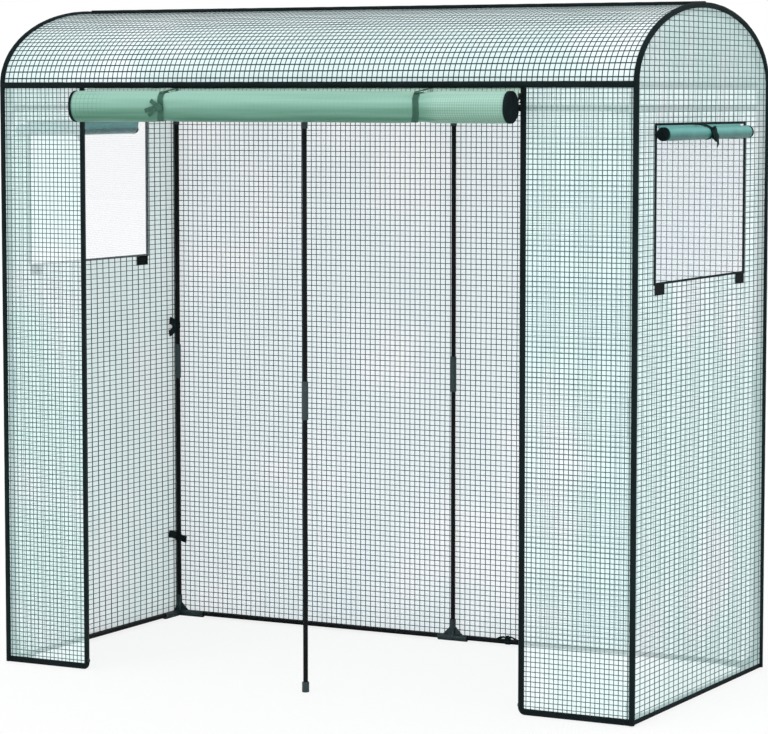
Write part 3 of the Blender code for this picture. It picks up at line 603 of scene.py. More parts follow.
def band(name, path, frames, width, thickness, material, closed, cup, sharp):
    """A folded tape along a path. frames holds the ways across and out at each point, and cup bends it."""
    half, edge, flat = width / 2, thickness * 0.35, 0.5 * thickness
    top = [(-half + edge, flat), (-half / 2, flat), (0.0, 0.52 * thickness),
           (half / 2, flat), (half - edge, flat)]
    section = [(-half, 0.0), *top, (half, 0.0), *[(a, -b) for a, b in reversed(top)]]
    verts, uvs = [], []
    for point, run, (across, out) in zip(path, distances(path), frames):
        for a, b in section:
            verts.append(point + across * a + out * (b + cup * (a / half) ** 2))
            uvs.append((run, half - abs(a)))
    piece = build(name, verts, ring_faces(0, len(path), len(section), closed), material, uvs, solid=True)
    bend_edges(piece, sharp)
    return piece


def tape(name, path, out, width, thickness, material):
    """Flat binding along a path, folded over the film's edge. Corners are mitred."""
    path, out = [Vector(p) for p in path], Vector(out)
    steps = [(after - before).normalized() for before, after in zip(path, path[1:])]
    frames = []
    for before, after in zip([steps[0], *steps], [*steps, steps[-1]]):
        bisector = (before + after).normalized()
        frames.append((bisector.cross(out).normalized() / max(0.3, bisector.dot(before)), out))
    return band(name, path, frames, width, thickness, material, False, 0.0, 35)


def strap(name, path, across, width, thickness, material, closed=False, cup=0.0):
    """A cloth strap along a path. across gives its width's direction."""
    path, across, count = [Vector(p) for p in path], Vector(across), len(path)
    frames = []
    for i in range(count):
        ahead = path[(i + 1) % count] if closed else path[min(i + 1, count - 1)]
        behind = path[i - 1] if (i or closed) else path[0]
        tangent = (ahead - behind).normalized()
        way = (across - tangent * across.dot(tangent)).normalized()
        frames.append((way, way.cross(tangent)))
    return band(name, path, frames, width, thickness, material, closed, cup, 50)


def curve_through(points, steps=6):
    """A smooth line through points."""
    points = [Vector(p) for p in points]
    padded = [points[0] * 2 - points[1], *points, points[-1] * 2 - points[-2]]
    made = []
    for i in range(1, len(padded) - 2):
        a, b, c, d = padded[i - 1:i + 3]
        for step in range(steps):
            t = step / steps
            made.append(0.5 * ((2 * b) + (c - a) * t + (2 * a - 5 * b + 4 * c - d) * t * t
                               + (3 * b - a - 3 * c + d) * t ** 3))
    made.append(points[-1])
    return made


# Rolled flaps

def on_circle(middle, radius, turn):
    """A place on a circle, as outward and up."""
    return middle[0] + radius * math.cos(turn), middle[1] + radius * math.sin(turn)


def spiral(anchor, middle, radius, pitch, core, steps=ROLL_STEPS):
    """The rolled flap's middle line as (radius, turn), from where it touches the roll inwards."""
    reach = Vector(anchor) - Vector(middle)
    start = math.atan2(reach.y, reach.x) + math.acos(radius / reach.length)
    count = round((radius - core) / pitch * steps)
    return [(radius - pitch * i / steps, start + 2 * math.pi * i / steps) for i in range(count + 1)]


def roll_sheet(name, line, middle, places, to_world, dent, material, thickness):
    """A wound sheet: each place along the roll has the whole spiral, dented by its turn and place."""
    verts, faces, uvs = [], [], []
    runs = [0.0]
    for (r0, t0), (r1, t1) in zip(line, line[1:]):
        runs.append(runs[-1] + (r0 + r1) / 2 * (t1 - t0))
    for place in places:
        for (radius, turn), run in zip(line, runs):
            verts.append(to_world(*on_circle(middle, radius * (1 + dent(turn, place)), turn), place))
            uvs.append((place, run))
    n = len(line)
    for i in range(len(places) - 1):
        for j in range(n - 1):
            a = i * n + j
            faces.append((a, a + 1, a + n + 1, a + n))
    sheet = build(name, verts, faces, material, uvs)
    thicken(sheet, thickness)
    return sheet, runs[-1]


def roll_flap(names, line, middle, ends, bound, lap, steps, to_world, dent, materials, layers):
    """A flap's roll and the bindings on its ends. Returns them with the length that is wound up."""
    (low, high), wide = ends, bound + lap
    places = [span(low + bound, high - bound, steps[0]), span(low, low + wide, steps[1]),
              span(high - wide, high, steps[1])]
    made = []
    for number, (name, spots) in enumerate(zip(names, places)):
        kind = min(number, 1)
        made.append(roll_sheet(name, line, middle, spots, to_world, dent, materials[kind], layers[kind]))
    return made[0][0], [sheet for sheet, _ in made[1:]], made[0][1]


def door_place(outward, up, x):
    return Vector((x, FRONT_Y - outward, EAVE + up))


def window_place(sign):
    def place(outward, up, y):
        return Vector((sign * (FILM_X + outward), y, WINDOW_TOP + up))
    return place


def door_dent(turn, x):
    """How far the door's roll is pressed in or stands out, as a share of its radius."""
    soft = 0.020 * math.sin(turn * 2 + 3.1 * x + 0.6) + 0.014 * math.sin(turn * 3 - 5.3 * x + 2.0)
    soft += 0.010 * math.sin(turn * 5 + 11.0 * x) * math.sin(7.0 * x + 1.0)
    pinch = sum(math.exp(-((x - tie) / 0.026) ** 2) for tie in (-TIE_X, TIE_X))
    near = sum(math.exp(-((x - tie) / 0.06) ** 2) for tie in (-TIE_X, TIE_X))
    pucker = 0.012 * math.sin(turn * 9 + 2) * near
    full = 0.16 * max(0.0, math.sin(turn)) ** 2
    return soft + full * (1 - 0.5 * pinch) - 0.085 * pinch + pucker


def window_dent(turn, y):
    soft = 0.025 * math.sin(turn * 2 + 9.0 * y) + 0.015 * math.sin(turn * 3 - 15.0 * y + 1)
    return soft - 0.07 * math.exp(-((y - WINDOW_TIE_Y) / 0.018) ** 2)


# What a user may change

def length_setting(name, text, default):
    return FloatProperty(name=name, description=text, default=default, precision=5, unit="LENGTH")


def grid_setting(name, text, default):
    return FloatVectorProperty(name=name, description=text, size=2, default=default, precision=4,
                               unit="LENGTH")


def share_setting(name, text, default):
    return FloatProperty(name=name, description=text, default=default, min=0, max=1, subtype="FACTOR")


def colour_setting(name, text, code):
    return FloatVectorProperty(name=name, description=text, default=linear(code), min=0, max=1,
                               subtype="COLOR")


class GreenhouseFilmSettings(bpy.types.PropertyGroup):
    """Sizes and colours of the film cover."""

    front_grid: grid_setting("Front grid", "Threads at the front: apart across, and up", (0.0121, 0.0121))
    end_grid: grid_setting("End grid", "Threads in the end panels: apart across, and up", (0.0300, 0.0136))
    back_grid: grid_setting("Back grid", "Threads at the back: apart across, and up", (0.0155, 0.0144))
    roof_grid: grid_setting("Roof grid", "Threads in the roof: apart along it, and round it",
                            (0.0139, 0.0176))
    thread_width: length_setting("Thread width", "Width of one flat thread", 0.0018)
    thread_thickness: length_setting("Thread thickness", "Thickness of one flat thread", 0.0005)
    waviness: length_setting("Waviness", "How far the film stands in or out of its plane", 0.0014)
    film_alpha: share_setting("Film opacity", "How milky the front and end film is", 0.58)
    back_alpha: share_setting("Back opacity", "How milky the back's film is", 0.32)
    roof_alpha: share_setting("Roof opacity", "How milky the roof's film is", 0.90)
    thread_alpha: share_setting("Thread opacity", "How solid a thread is in the film", 0.92)
    film_color: colour_setting("Film colour", "Colour of the film", "#dffdfb")
    thread_color: colour_setting("Thread colour", "Colour of the threads in the film", "#42565a")


class GreenhouseFlapSettings(bpy.types.PropertyGroup):
    """Sizes of the rolled door and window flaps."""

    door_pitch: length_setting("Door roll pitch", "Distance from one turn of the door's roll to the next",
                               0.00305)
    door_layer: length_setting("Door layer", "Thickness of the door's film as it lies in the roll", 0.0018)
    window_pitch: length_setting("Window roll pitch", "Distance between turns of a window's roll", 0.0022)
    window_layer: length_setting("Window layer", "Thickness of a window flap's film in the roll", 0.0013)


class GreenhouseTrimSettings(bpy.types.PropertyGroup):
    """Sizes of the net, the zips and the sewn fittings."""

    net_pitch: length_setting("Net pitch", "Distance between the net's threads, drawn coarse", 0.0050)
    net_thread: length_setting("Net thread", "Width of one net thread", 0.00035)
    tooth_pitch: length_setting("Tooth pitch", "Distance from one zip tooth to the next", 0.0026)
    tie_width: length_setting("Tie width", "Width of a door tie", 0.0155)
    patch_width: length_setting("Patch width", "Width of a hook-and-loop patch", 0.055)
    patch_height: length_setting("Patch height", "Height of a hook-and-loop patch", 0.025)


# Pieces

def film_settings():
    return bpy.context.scene.greenhouse_film


def cover_cloth():
    """The materials that the panels share, made once."""
    settings = film_settings()
    kinds = {
        "film": ("laminated_polyethylene_film", polyethylene_film, settings.film_color, settings.film_alpha),
        "roof": ("roof_polyethylene_film", polyethylene_film, "#dceff0", settings.roof_alpha),
        "back": ("back_polyethylene_film", polyethylene_film, "#c2ebf6", settings.back_alpha),
        "lead": ("door_polyethylene_film", polyethylene_film, "#a9cfba", 0.78, "#bcdccb"),
        "thread": ("polyester_scrim_thread", scrim_thread, settings.thread_color, settings.thread_alpha),
        "roof_thread": ("roof_scrim_thread", scrim_thread, "#1a3036", 0.93),
        "back_thread": ("back_scrim_thread", scrim_thread, "#355463", 0.95),
        "piping": ("woven_polyester_piping", woven_tape, "#102022", "#24373a"),
        "tape": ("woven_polyester_tape", woven_tape, "#0e1c1e", "#223437"),
        "tie": ("cotton_tie_tape", woven_tape, "#40695a", "#567a6c", 0.0012),
        "knot": ("window_tie_tape", woven_tape, "#0a2523", "#2c5a55", 0.0012),
        "patch": ("hook_and_loop_pile", hook_and_loop),
    }
    kept = bpy.data.materials
    return {key: kept.get(name) or make(name, *looks) for key, (name, make, *looks) in kinds.items()}


class GREENHOUSE_OT_frame(bpy.types.Operator):
    """Gives the tubes, connectors and zip metal their finishes"""

    bl_idname = "greenhouse.frame"
    bl_label = "Finish the frame"

    def execute(self, context):
        coat = powder_coated_steel()
        fitting = moulded_polypropylene("moulded_polypropylene", "#1f3335", "#3a5254")
        # The base connectors get a darker copy of the same moulded polypropylene.
        base = moulded_polypropylene("darker_base_polypropylene", "#16282b", "#2a4043")
        metal = enamelled_zinc()
        shown = {"steel_tube": coat, "connector": fitting, "zip_metal": metal}
        for part in frame["record"]["subparts"]:
            name, slot = part["node"], part["material_slot"]
            finish = base if name.startswith(("base_corner", "base_tee")) else shown.get(slot)
            if slot in shown:
                for place in frame["nodes"][name].material_slots:
                    place.material = finish
        return {"FINISHED"}


class GREENHOUSE_OT_roof(bpy.types.Operator):
    """Makes the roof's film with its threads and the piping on the eaves and the ridge"""

    bl_idname = "greenhouse.roof"
    bl_label = "Roof"

    def execute(self, context):
        settings, cloth = film_settings(), cover_cloth()
        middle, bend, far = ARC_LENGTH / 2, 0.13, ARC_LENGTH - ROOF_EDGE
        rows = span(ROOF_EDGE, bend, 10)[:-1] + seam_span(bend, middle)[:-1]
        rows += seam_span(middle, ARC_LENGTH - bend)[:-1] + span(ARC_LENGTH - bend, far, 10)
        surface = Surface("roof", 1, seam_span(-PANEL_X, PANEL_X), rows, settings.waviness, 1.7)
        runs = crossed((-PANEL_X, PANEL_X), (0.006, ARC_LENGTH - 0.006), settings.roof_grid, (ROOF_EDGE, far))
        film, scrim = panel("roof_{}", surface, runs, (cloth["roof"], cloth["roof_thread"]), (1.65, 1.35))
        reach = FILM_X - 0.001
        trims = [scrim]
        for name, y, z, radius, seam in (
                ("front", FRONT_Y, EAVE, EAVE_PIPING_R, (0, 0.7, -0.7)),
                ("back", BACK_Y, EAVE, EAVE_PIPING_R, (0, -0.7, -0.7)),
                ("ridge", CENTRE_Y, EAVE + RISE + 0.0030, RIDGE_PIPING_R, (0, 0.2, -1))):
            path = [(x, y, z) for x in span(-reach, reach, 90)]
            trims.append(pipe(f"roof_piping_{name}", path, radius, cloth["piping"], seam))
        sew("cover_film", "roof_panel", film, trims, flat=(2 * PANEL_X, ARC_LENGTH), held="stretched",
            rests_on=["hoop_left", "hoop_middle", "hoop_right"])
        return {"FINISHED"}


class GREENHOUSE_OT_back(bpy.types.Operator):
    """Makes the back panel's film, threads and hem"""

    bl_idname = "greenhouse.back"
    bl_label = "Back panel"

    def execute(self, context):
        settings, cloth = film_settings(), cover_cloth()
        wide = (-PANEL_X, PANEL_X)
        surface = Surface("back", 1, seam_span(*wide), seam_span(FILM_BOTTOM, PANEL_TOP),
                          settings.waviness, 4.4)
        runs = crossed(wide, (HEM_WIDTH, PANEL_TOP), settings.back_grid, (FLOOR_GAP + 0.002, PANEL_TOP))
        film, scrim = panel("back_{}", surface, runs, (cloth["back"], cloth["back_thread"]), (1.1, 1.2))
        path = [(x, BACK_Y, FLOOR_GAP + HEM_WIDTH / 2) for x in span(*wide, 60)]
        hem = tape("back_hem", path, (0, 1, 0), HEM_WIDTH, HEM_THICKNESS, cloth["tape"])
        sew("cover_film", "back_panel", film, [scrim, hem], flat=(2 * PANEL_X, PANEL_TOP - FLOOR_GAP),
            held="hung", rests_on=["roof_piping_back"])
        return {"FINISHED"}


class GREENHOUSE_OT_ends(bpy.types.Operator):
    """Makes both end panels: film under the arch, threads, piping, hem and the window's frame"""

    bl_idname = "greenhouse.ends"
    bl_label = "End panels"

    def execute(self, context):
        settings, cloth = film_settings(), cover_cloth()
        frame_front, frame_back = WINDOW_FRONT - FRAME_LAP, WINDOW_BACK + FRAME_LAP
        frame_sill, frame_top = WINDOW_SILL - FRAME_LAP, WINDOW_TOP + FRAME_LAP
        near, across = seam_span(FRONT_Y + 0.002, frame_front), seam_span(frame_front, frame_back)
        columns = near[:-1] + across[:-1] + seam_span(frame_back, BACK_Y - 0.002)
        inner = (len(near) - 1, len(near) + len(across) - 2)
        below, beside = seam_span(FILM_BOTTOM, frame_sill)[:-1], seam_span(frame_sill, frame_top)[:-1]

        def rows(u):
            return below + beside + span(frame_top, max(frame_top + 0.02, arch_top(u) - 0.002), 12)

        def in_window(i, j):
            return inner[0] <= i < inner[1] and len(below) <= j < len(below) + len(beside)

        runs = []
        for u in pitches(FRONT_Y + 0.003, BACK_Y - 0.003, settings.end_grid[0]):
            stops = [FILM_BOTTOM, arch_top(u) - 0.003]
            if frame_front < u < frame_back:
                stops[1:1] = [frame_sill, frame_top]
            runs += [(u, low, high, False) for low, high in zip(stops[::2], stops[1::2])]
        for v in pitches(HEM_WIDTH, EAVE + RISE - 0.012, settings.end_grid[1]):
            half = HALF_DEPTH - 0.003
            if v > EAVE:
                half = HALF_DEPTH * math.sqrt(1 - ((v - EAVE) / RISE) ** 2) - 0.005
            stops = [CENTRE_Y - half, CENTRE_Y + half]
            if frame_sill < v < frame_top:
                stops[1:1] = [frame_front, frame_back]
            runs += [(v, low, high, True) for low, high in zip(stops[::2], stops[1::2])]
        for end, sign in SIDE.items():
            surface = Surface("end", sign, columns, rows, settings.waviness, 2.9 + sign)
            kinds = (cloth["film"], cloth["thread"])
            film, scrim = panel("end_{}_" + end, surface, runs, kinds, (1, 2.2), in_window)
            x = sign * FILM_X
            path = [(x, FRONT_Y, z) for z in span(0.0030, EAVE, 50)[:-1]]
            path += [(x, *on_roof(turn)) for turn in span(0, math.pi, 64)]
            path += [(x, BACK_Y, z) for z in span(EAVE, 0.0030, 50)[1:]]
            piping = pipe(f"end_piping_{end}", path, self.piping_radius, cloth["piping"], (-sign, 0, 0))
            path = [(x, y, FLOOR_GAP + HEM_WIDTH / 2) for y in span(FRONT_Y + 0.001, BACK_Y - 0.001, 40)]
            hem = tape(f"end_hem_{end}", path, (sign, 0, 0), HEM_WIDTH, HEM_THICKNESS, cloth["tape"])
            window = self.window_binding(end, x, (sign, 0, 0), cloth["tape"])
            area = 2 * HALF_DEPTH * (EAVE - FLOOR_GAP) + math.pi / 2 * HALF_DEPTH * RISE
            area -= (frame_back - frame_front) * (frame_top - frame_sill)
            sew("cover_film", f"side_panel_{end}", film, [scrim, piping, hem, window],
                flat=(2 * HALF_DEPTH, EAVE + RISE - FLOOR_GAP), held="hung", area=area,
                rests_on=[f"end_piping_{end}"])
        return {"FINISHED"}

    def piping_radius(self, point):
        """The piping is thicker over the arch than down the corners."""
        return CORNER_PIPING_R + (ARCH_PIPING_R - CORNER_PIPING_R) * fade(point.z - EAVE + 0.03, 0.06)

    def window_binding(self, end, x, out, material):
        """The tape round the window: wide down its sides, narrow along its sill and top."""
        parts = []
        for y, way in ((WINDOW_FRONT, -1), (WINDOW_BACK, 1)):
            middle = y + way * (UPRIGHT_TAPE / 2 - 0.0035)
            path = [(x, middle, z) for z in span(WINDOW_SILL - LEVEL_TAPE, WINDOW_TOP + LEVEL_TAPE, 28)]
            parts.append(tape("side", path, out, UPRIGHT_TAPE, 0.0026, material))
        for z, way in ((WINDOW_SILL, -1), (WINDOW_TOP, 1)):
            middle = z + way * (LEVEL_TAPE / 2 - 0.0005)
            path = [(x, y, middle) for y in span(WINDOW_FRONT - 0.004, WINDOW_BACK + 0.004, 40)]
            parts.append(tape("level", path, out, LEVEL_TAPE, 0.0022, material))
        return join(f"window_frame_{end}", parts)


class GREENHOUSE_OT_fronts(bpy.types.Operator):
    """Makes the two front panels: film, threads and the binding down the doorway's edge"""

    bl_idname = "greenhouse.fronts"
    bl_label = "Front panels"

    def execute(self, context):
        settings, cloth = film_settings(), cover_cloth()
        low, half = FLOOR_GAP + BINDING_TUCK, DOORWAY_BINDING / 2
        for end, sign in SIDE.items():
            edge = DOOR[end]
            # The film's corner is tucked well under the binding, which is rounded there.
            near, far = sorted((edge + sign * BINDING_TUCK, sign * PANEL_X))
            surface = Surface("front", -1, seam_span(near, far), seam_span(low, PANEL_TOP),
                              settings.waviness, 6.1 + sign)
            runs = crossed((near, far), (HEM_WIDTH, PANEL_TOP), settings.front_grid, (low, PANEL_TOP))
            film, scrim = panel("front_{}_" + end, surface, runs, (cloth["film"], cloth["thread"]))
            # The binding runs along the floor, round the corner and up the doorway's edge.
            corner = (edge + sign * (half + DOOR_CORNER_R), FLOOR_GAP + half + DOOR_CORNER_R)
            path = [(x, FRONT_Y, FLOOR_GAP + half) for x in span(sign * PANEL_X, corner[0], 14)[:-1]]
            path += [(corner[0] - sign * DOOR_CORNER_R * math.sin(turn), FRONT_Y,
                      corner[1] - DOOR_CORNER_R * math.cos(turn)) for turn in span(0, math.pi / 2, 6)]
            path += [(edge + sign * half, FRONT_Y, z) for z in span(corner[1], PANEL_TOP, 70)[1:]]
            hem = tape(f"front_binding_{end}", path, (0, -1, 0), DOORWAY_BINDING, HEM_THICKNESS,
                       cloth["tape"])
            sew("cover_film", f"front_panel_{end}", film, [scrim, hem], flat=(far - near, PANEL_TOP - low),
                held="hung", rests_on=["roof_piping_front"])
        return {"FINISHED"}


class GREENHOUSE_OT_zips(bpy.types.Operator):
    """Makes the zip teeth down both sides of the doorway, with a stop at the lower end"""

    bl_idname = "greenhouse.zips"
    bl_label = "Zip teeth"

    def execute(self, context):
        acetal, pitch = acetal_teeth(), context.scene.greenhouse_trim.tooth_pitch
        for end, sign in SIDE.items():
            x = ZIP_X[end] + sign * 0.0007
            # One tooth: a root clamped over the cord, a waist and a wider head.
            tooth = self.block(f"zip_teeth_{end}", (0.0020, 0.0036, 0.00135), (0, 0, 0))
            self.select_facing(tooth, (-sign, 0, 0))
            for out, wide in ((0.0008, (1, 0.55, 0.75)), (0.0007, (1, 1.5, 1.3))):
                bpy.ops.mesh.extrude_region_move(TRANSFORM_OT_translate={"value": (-sign * out, 0, 0)})
                bpy.ops.transform.resize(value=wide)
            bpy.ops.mesh.select_all(action="SELECT")
            bpy.ops.mesh.bevel(offset=0.00018, segments=1, affect="EDGES")
            bpy.ops.object.mode_set(mode="OBJECT")
            copies = tooth.modifiers.new("copies", "ARRAY")
            copies.use_relative_offset, copies.use_constant_offset = False, True
            copies.constant_offset_displace = (0, 0, pitch)
            copies.count = int((PANEL_TOP - 0.004 - ZIP_START) / pitch)
            bpy.ops.object.modifier_apply(modifier=copies.name)
            tooth.data.transform(Matrix.Translation((x, FRONT_Y, ZIP_START + 0.0045)))
            # The box that closes the chain's lower end.
            stop = self.block(f"zip_stop_{end}", (0.0052, 0.0040, 0.0078), (x, FRONT_Y, ZIP_START))
            bpy.ops.mesh.select_all(action="SELECT")
            bpy.ops.mesh.bevel(offset=0.0008, segments=3, affect="EDGES")
            bpy.ops.mesh.select_all(action="DESELECT")
            self.select_facing(stop, (0, -1, 0))
            bpy.ops.mesh.inset(thickness=0.0009)
            bpy.ops.mesh.extrude_region_move(TRANSFORM_OT_translate={"value": (0, 0.0006, 0)})
            bpy.ops.object.mode_set(mode="OBJECT")
            for piece in (tooth, stop):
                piece.data.materials.clear()
                piece.data.materials.append(acetal)
                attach(piece, BODY)
            bend_edges(stop, 40)
        return {"FINISHED"}

    def block(self, name, size, place):
        """A box, left open in edit mode."""
        bpy.ops.object.select_all(action="DESELECT")
        bpy.ops.mesh.primitive_cube_add(size=1, location=place, scale=size)
        piece = bpy.context.object
        piece.name = piece.data.name = name
        bpy.ops.object.transform_apply(location=True, rotation=True, scale=True)
        bpy.ops.object.mode_set(mode="EDIT")
        return piece

    def select_facing(self, piece, way):
        """Selects only the faces that look one way."""
        shape = bmesh.from_edit_mesh(piece.data)
        for face in shape.faces:
            face.select = face.normal.dot(Vector(way)) > 0.9
        bmesh.update_edit_mesh(piece.data)


class GREENHOUSE_OT_door_flap(bpy.types.Operator):
    """Rolls the door flap up under the eave"""

    bl_idname = "greenhouse.door_flap"
    bl_label = "Rolled door"

    def execute(self, context):
        flaps, settings, cloth = context.scene.greenhouse_flaps, film_settings(), cover_cloth()
        # The lower colour is the roll's painted shade underneath and the upper one its painted light on top,
        # between 1.428 and 1.488 m.
        green = rolled_film("rolled_door_film", "#4b7c67", "#8dbaaa", "#3c6655", 1.428, 1.488, 1.3,
                            0.0020, -0.535, 0.372)
        anchor, layer = (0.0, -EAVE_PIPING_R - SEAM_GAP), flaps.door_layer
        line = spiral(anchor, DOOR_ROLL_MIDDLE, DOOR_ROLL_R - layer / 2, flaps.door_pitch, 0.0016)
        left, right = DOOR_ROLL_ENDS
        names = ("door_roll_film", "door_roll_binding_left", "door_roll_binding_right")
        roll, parts, length = roll_flap(
            names, line, DOOR_ROLL_MIDDLE, DOOR_ROLL_ENDS, DOOR_ROLL_BOUND, 0.0015, (96, 3), door_place,
            door_dent, (green, cloth["tape"]), (layer, layer + 0.0008))
        # The single layer from the eave down to the roll.
        radius, turn = line[0]
        drop = math.dist(anchor, on_circle(DOOR_ROLL_MIDDLE, radius, turn))

        def lead_place(x, run):
            part = run / drop
            end = on_circle(DOOR_ROLL_MIDDLE, radius * (1 + door_dent(turn, x)), turn)
            bulge = math.sin(part * math.pi) * (0.0016 + 0.0012 * math.sin(9 * x))
            return door_place(anchor[0] + (end[0] - anchor[0]) * part + bulge,
                              anchor[1] + (end[1] - anchor[1]) * part, x)

        low, high = left + 0.002, right - 0.002
        surface = Surface("front", -1, span(low, high, 60), span(0.0, drop, 6), place=lead_place)
        runs = [(u, 0.0, drop, False) for u in pitches(left, right, settings.front_grid[0])]
        runs += [(v, low, high, True) for v in (drop - 0.008, drop - 0.0205, drop - 0.033)]
        lead, threads = panel("door_lead_{}", surface, runs, (cloth["lead"], cloth["thread"]), (0.6, 0.6))
        sew("door_flap", "door_roll", roll, parts, flat=(right - left - 2 * DOOR_ROLL_BOUND, length),
            held="folded", rests_on=["roof_piping_front"])
        sew("door_flap", None, lead, [threads], flat=(right - left - 0.004, drop), held="hung",
            rests_on=["roof_piping_front"])
        return {"FINISHED"}


class GREENHOUSE_OT_window_flaps(bpy.types.Operator):
    """Rolls both window flaps up over their windows"""

    bl_idname = "greenhouse.window_flaps"
    bl_label = "Rolled window flaps"

    def execute(self, context):
        flaps, cloth = context.scene.greenhouse_flaps, cover_cloth()
        # The lower colour is the roll's painted shade underneath and the upper one its painted light on top,
        # between 1.394 and 1.413 m.
        teal = rolled_film("rolled_window_film", "#005953", "#58a8a2", "#06504b", 1.394, 1.413,
                           0.5, 0.0012)
        low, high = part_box("window_roll_right")
        middle = (high[0] - FILM_X - WINDOW_ROLL_R - 0.0012, low[2] + WINDOW_ROLL_R + 0.0012 - WINDOW_TOP)
        anchor, layer = (0.0022, 0.0), flaps.window_layer
        line = spiral(anchor, middle, WINDOW_ROLL_R - layer / 2, flaps.window_pitch, 0.0014, 32)
        touch = on_circle(middle, *line[0])
        drop = math.dist(anchor, touch)
        front, back = WINDOW_ROLL_ENDS
        for end, sign in SIDE.items():
            place = window_place(sign)
            names = [f"window_roll_{part}_{end}" for part in ("film", "binding_front", "binding_back")]
            roll, parts, length = roll_flap(
                names, line, middle, WINDOW_ROLL_ENDS, WINDOW_ROLL_BOUND, 0.001, (56, 2), place, window_dent,
                (teal, cloth["tape"]), (layer, layer + 0.0005))

            def lead_place(y, run, place=place):
                part = run / drop
                return place(*[start + (stop - start) * part for start, stop in zip(anchor, touch)], y)

            surface = Surface("end", sign, span(front + 0.018, back - 0.004, 30), span(0.0, drop, 4),
                              place=lead_place)
            lead = film_sheet(f"window_lead_{end}", surface, teal)
            thicken(lead, 0.0006)
            tie = self.tie(end, sign, place, middle, cloth["knot"])
            for piece in (lead, *parts):
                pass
            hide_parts(f"window_roll_{end}")
            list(parts)
        return {"FINISHED"}

    def tie(self, end, sign, place, middle, material):
        """A loop round the roll, held from the top binding, with a small knot and one loose tail."""

        def near_roll(out, up, along):
            return place(middle[0] + out, middle[1] + up, WINDOW_TIE_Y + along)

        ring = []
        for turn in around(40):
            radius = (WINDOW_ROLL_R + 0.0006) * (1 + window_dent(turn, WINDOW_TIE_Y))
            ring.append(place(*on_circle(middle, radius, turn), WINDOW_TIE_Y))
        knot = near_roll(0.0170, 0.0010, 0.003)
        hold = [place(0.0030, 0.0015, WINDOW_TIE_Y - 0.030), place(0.014, 0.0010, WINDOW_TIE_Y - 0.026),
                near_roll(0.010, 0.0150, -0.014), knot]
        tail = [knot, near_roll(0.0205, -0.009, 0.013), near_roll(0.0190, -0.021, 0.024),
                near_roll(0.0165, -0.032, 0.032)]
        return join(f"window_tie_{end}", [
            strap("ring", ring, (0, 1, 0), 0.013, 0.001, material, closed=True),
            strap("hold", curve_through(hold), (0, 1, 0.4), 0.010, 0.001, material),
            strap("tail", curve_through(tail), (0, 0.8, 0.5), 0.013, 0.0009, material),
            knot_wrap("wrap", knot, (sign, 0, 0), 0.0130, 0.0125, 0.0085, material),
            knot_wrap("under", near_roll(0.0185, -0.0095, 0.012), (sign, 0, 0.3), 0.0100, 0.0100, 0.0080,
                      material),
        ])


def knot_wrap(name, centre, out, half_width, half_height, depth, material):
    """A small flat knot: two crossing bands of tape pulled tight round the strap."""
    centre, out = Vector(centre), Vector(out).normalized()
    up = Vector((0, 0, 1))
    side = up.cross(out)
    parts = []
    for number, (lean, wide, size) in enumerate(((0.5, 1.0, 1.0), (-0.65, 0.82, 0.86))):
        axis = (side * math.cos(lean) + up * math.sin(lean)).normalized()
        over = axis.cross(out)
        ring = [centre + over * half_height * size * math.cos(turn)
                + out * depth * (0.5 + 0.12 * number) * math.sin(turn) for turn in around(24)]
        parts.append(strap(f"{name}_{number}", ring, axis, 2 * half_width * wide, 0.0013, material,
                           closed=True, cup=-0.0012))
    return join(name, parts)


def tie_lean(turn):
    """How far a door tie stands to the left: it comes over the roll from the right, then hangs straight."""
    degrees = (math.degrees(turn) + 180) % 360 - 180
    if degrees < 27:
        back = 1 if degrees > -90 else (degrees + 180) / 90
        return 0.0217 * (1 - math.cos(math.radians(max(degrees, -90)))) * back
    if degrees < 75:
        return 0.0024 + 0.0066 * (degrees - 27) / 48
    return 0.0090 * (180 - degrees) / 105


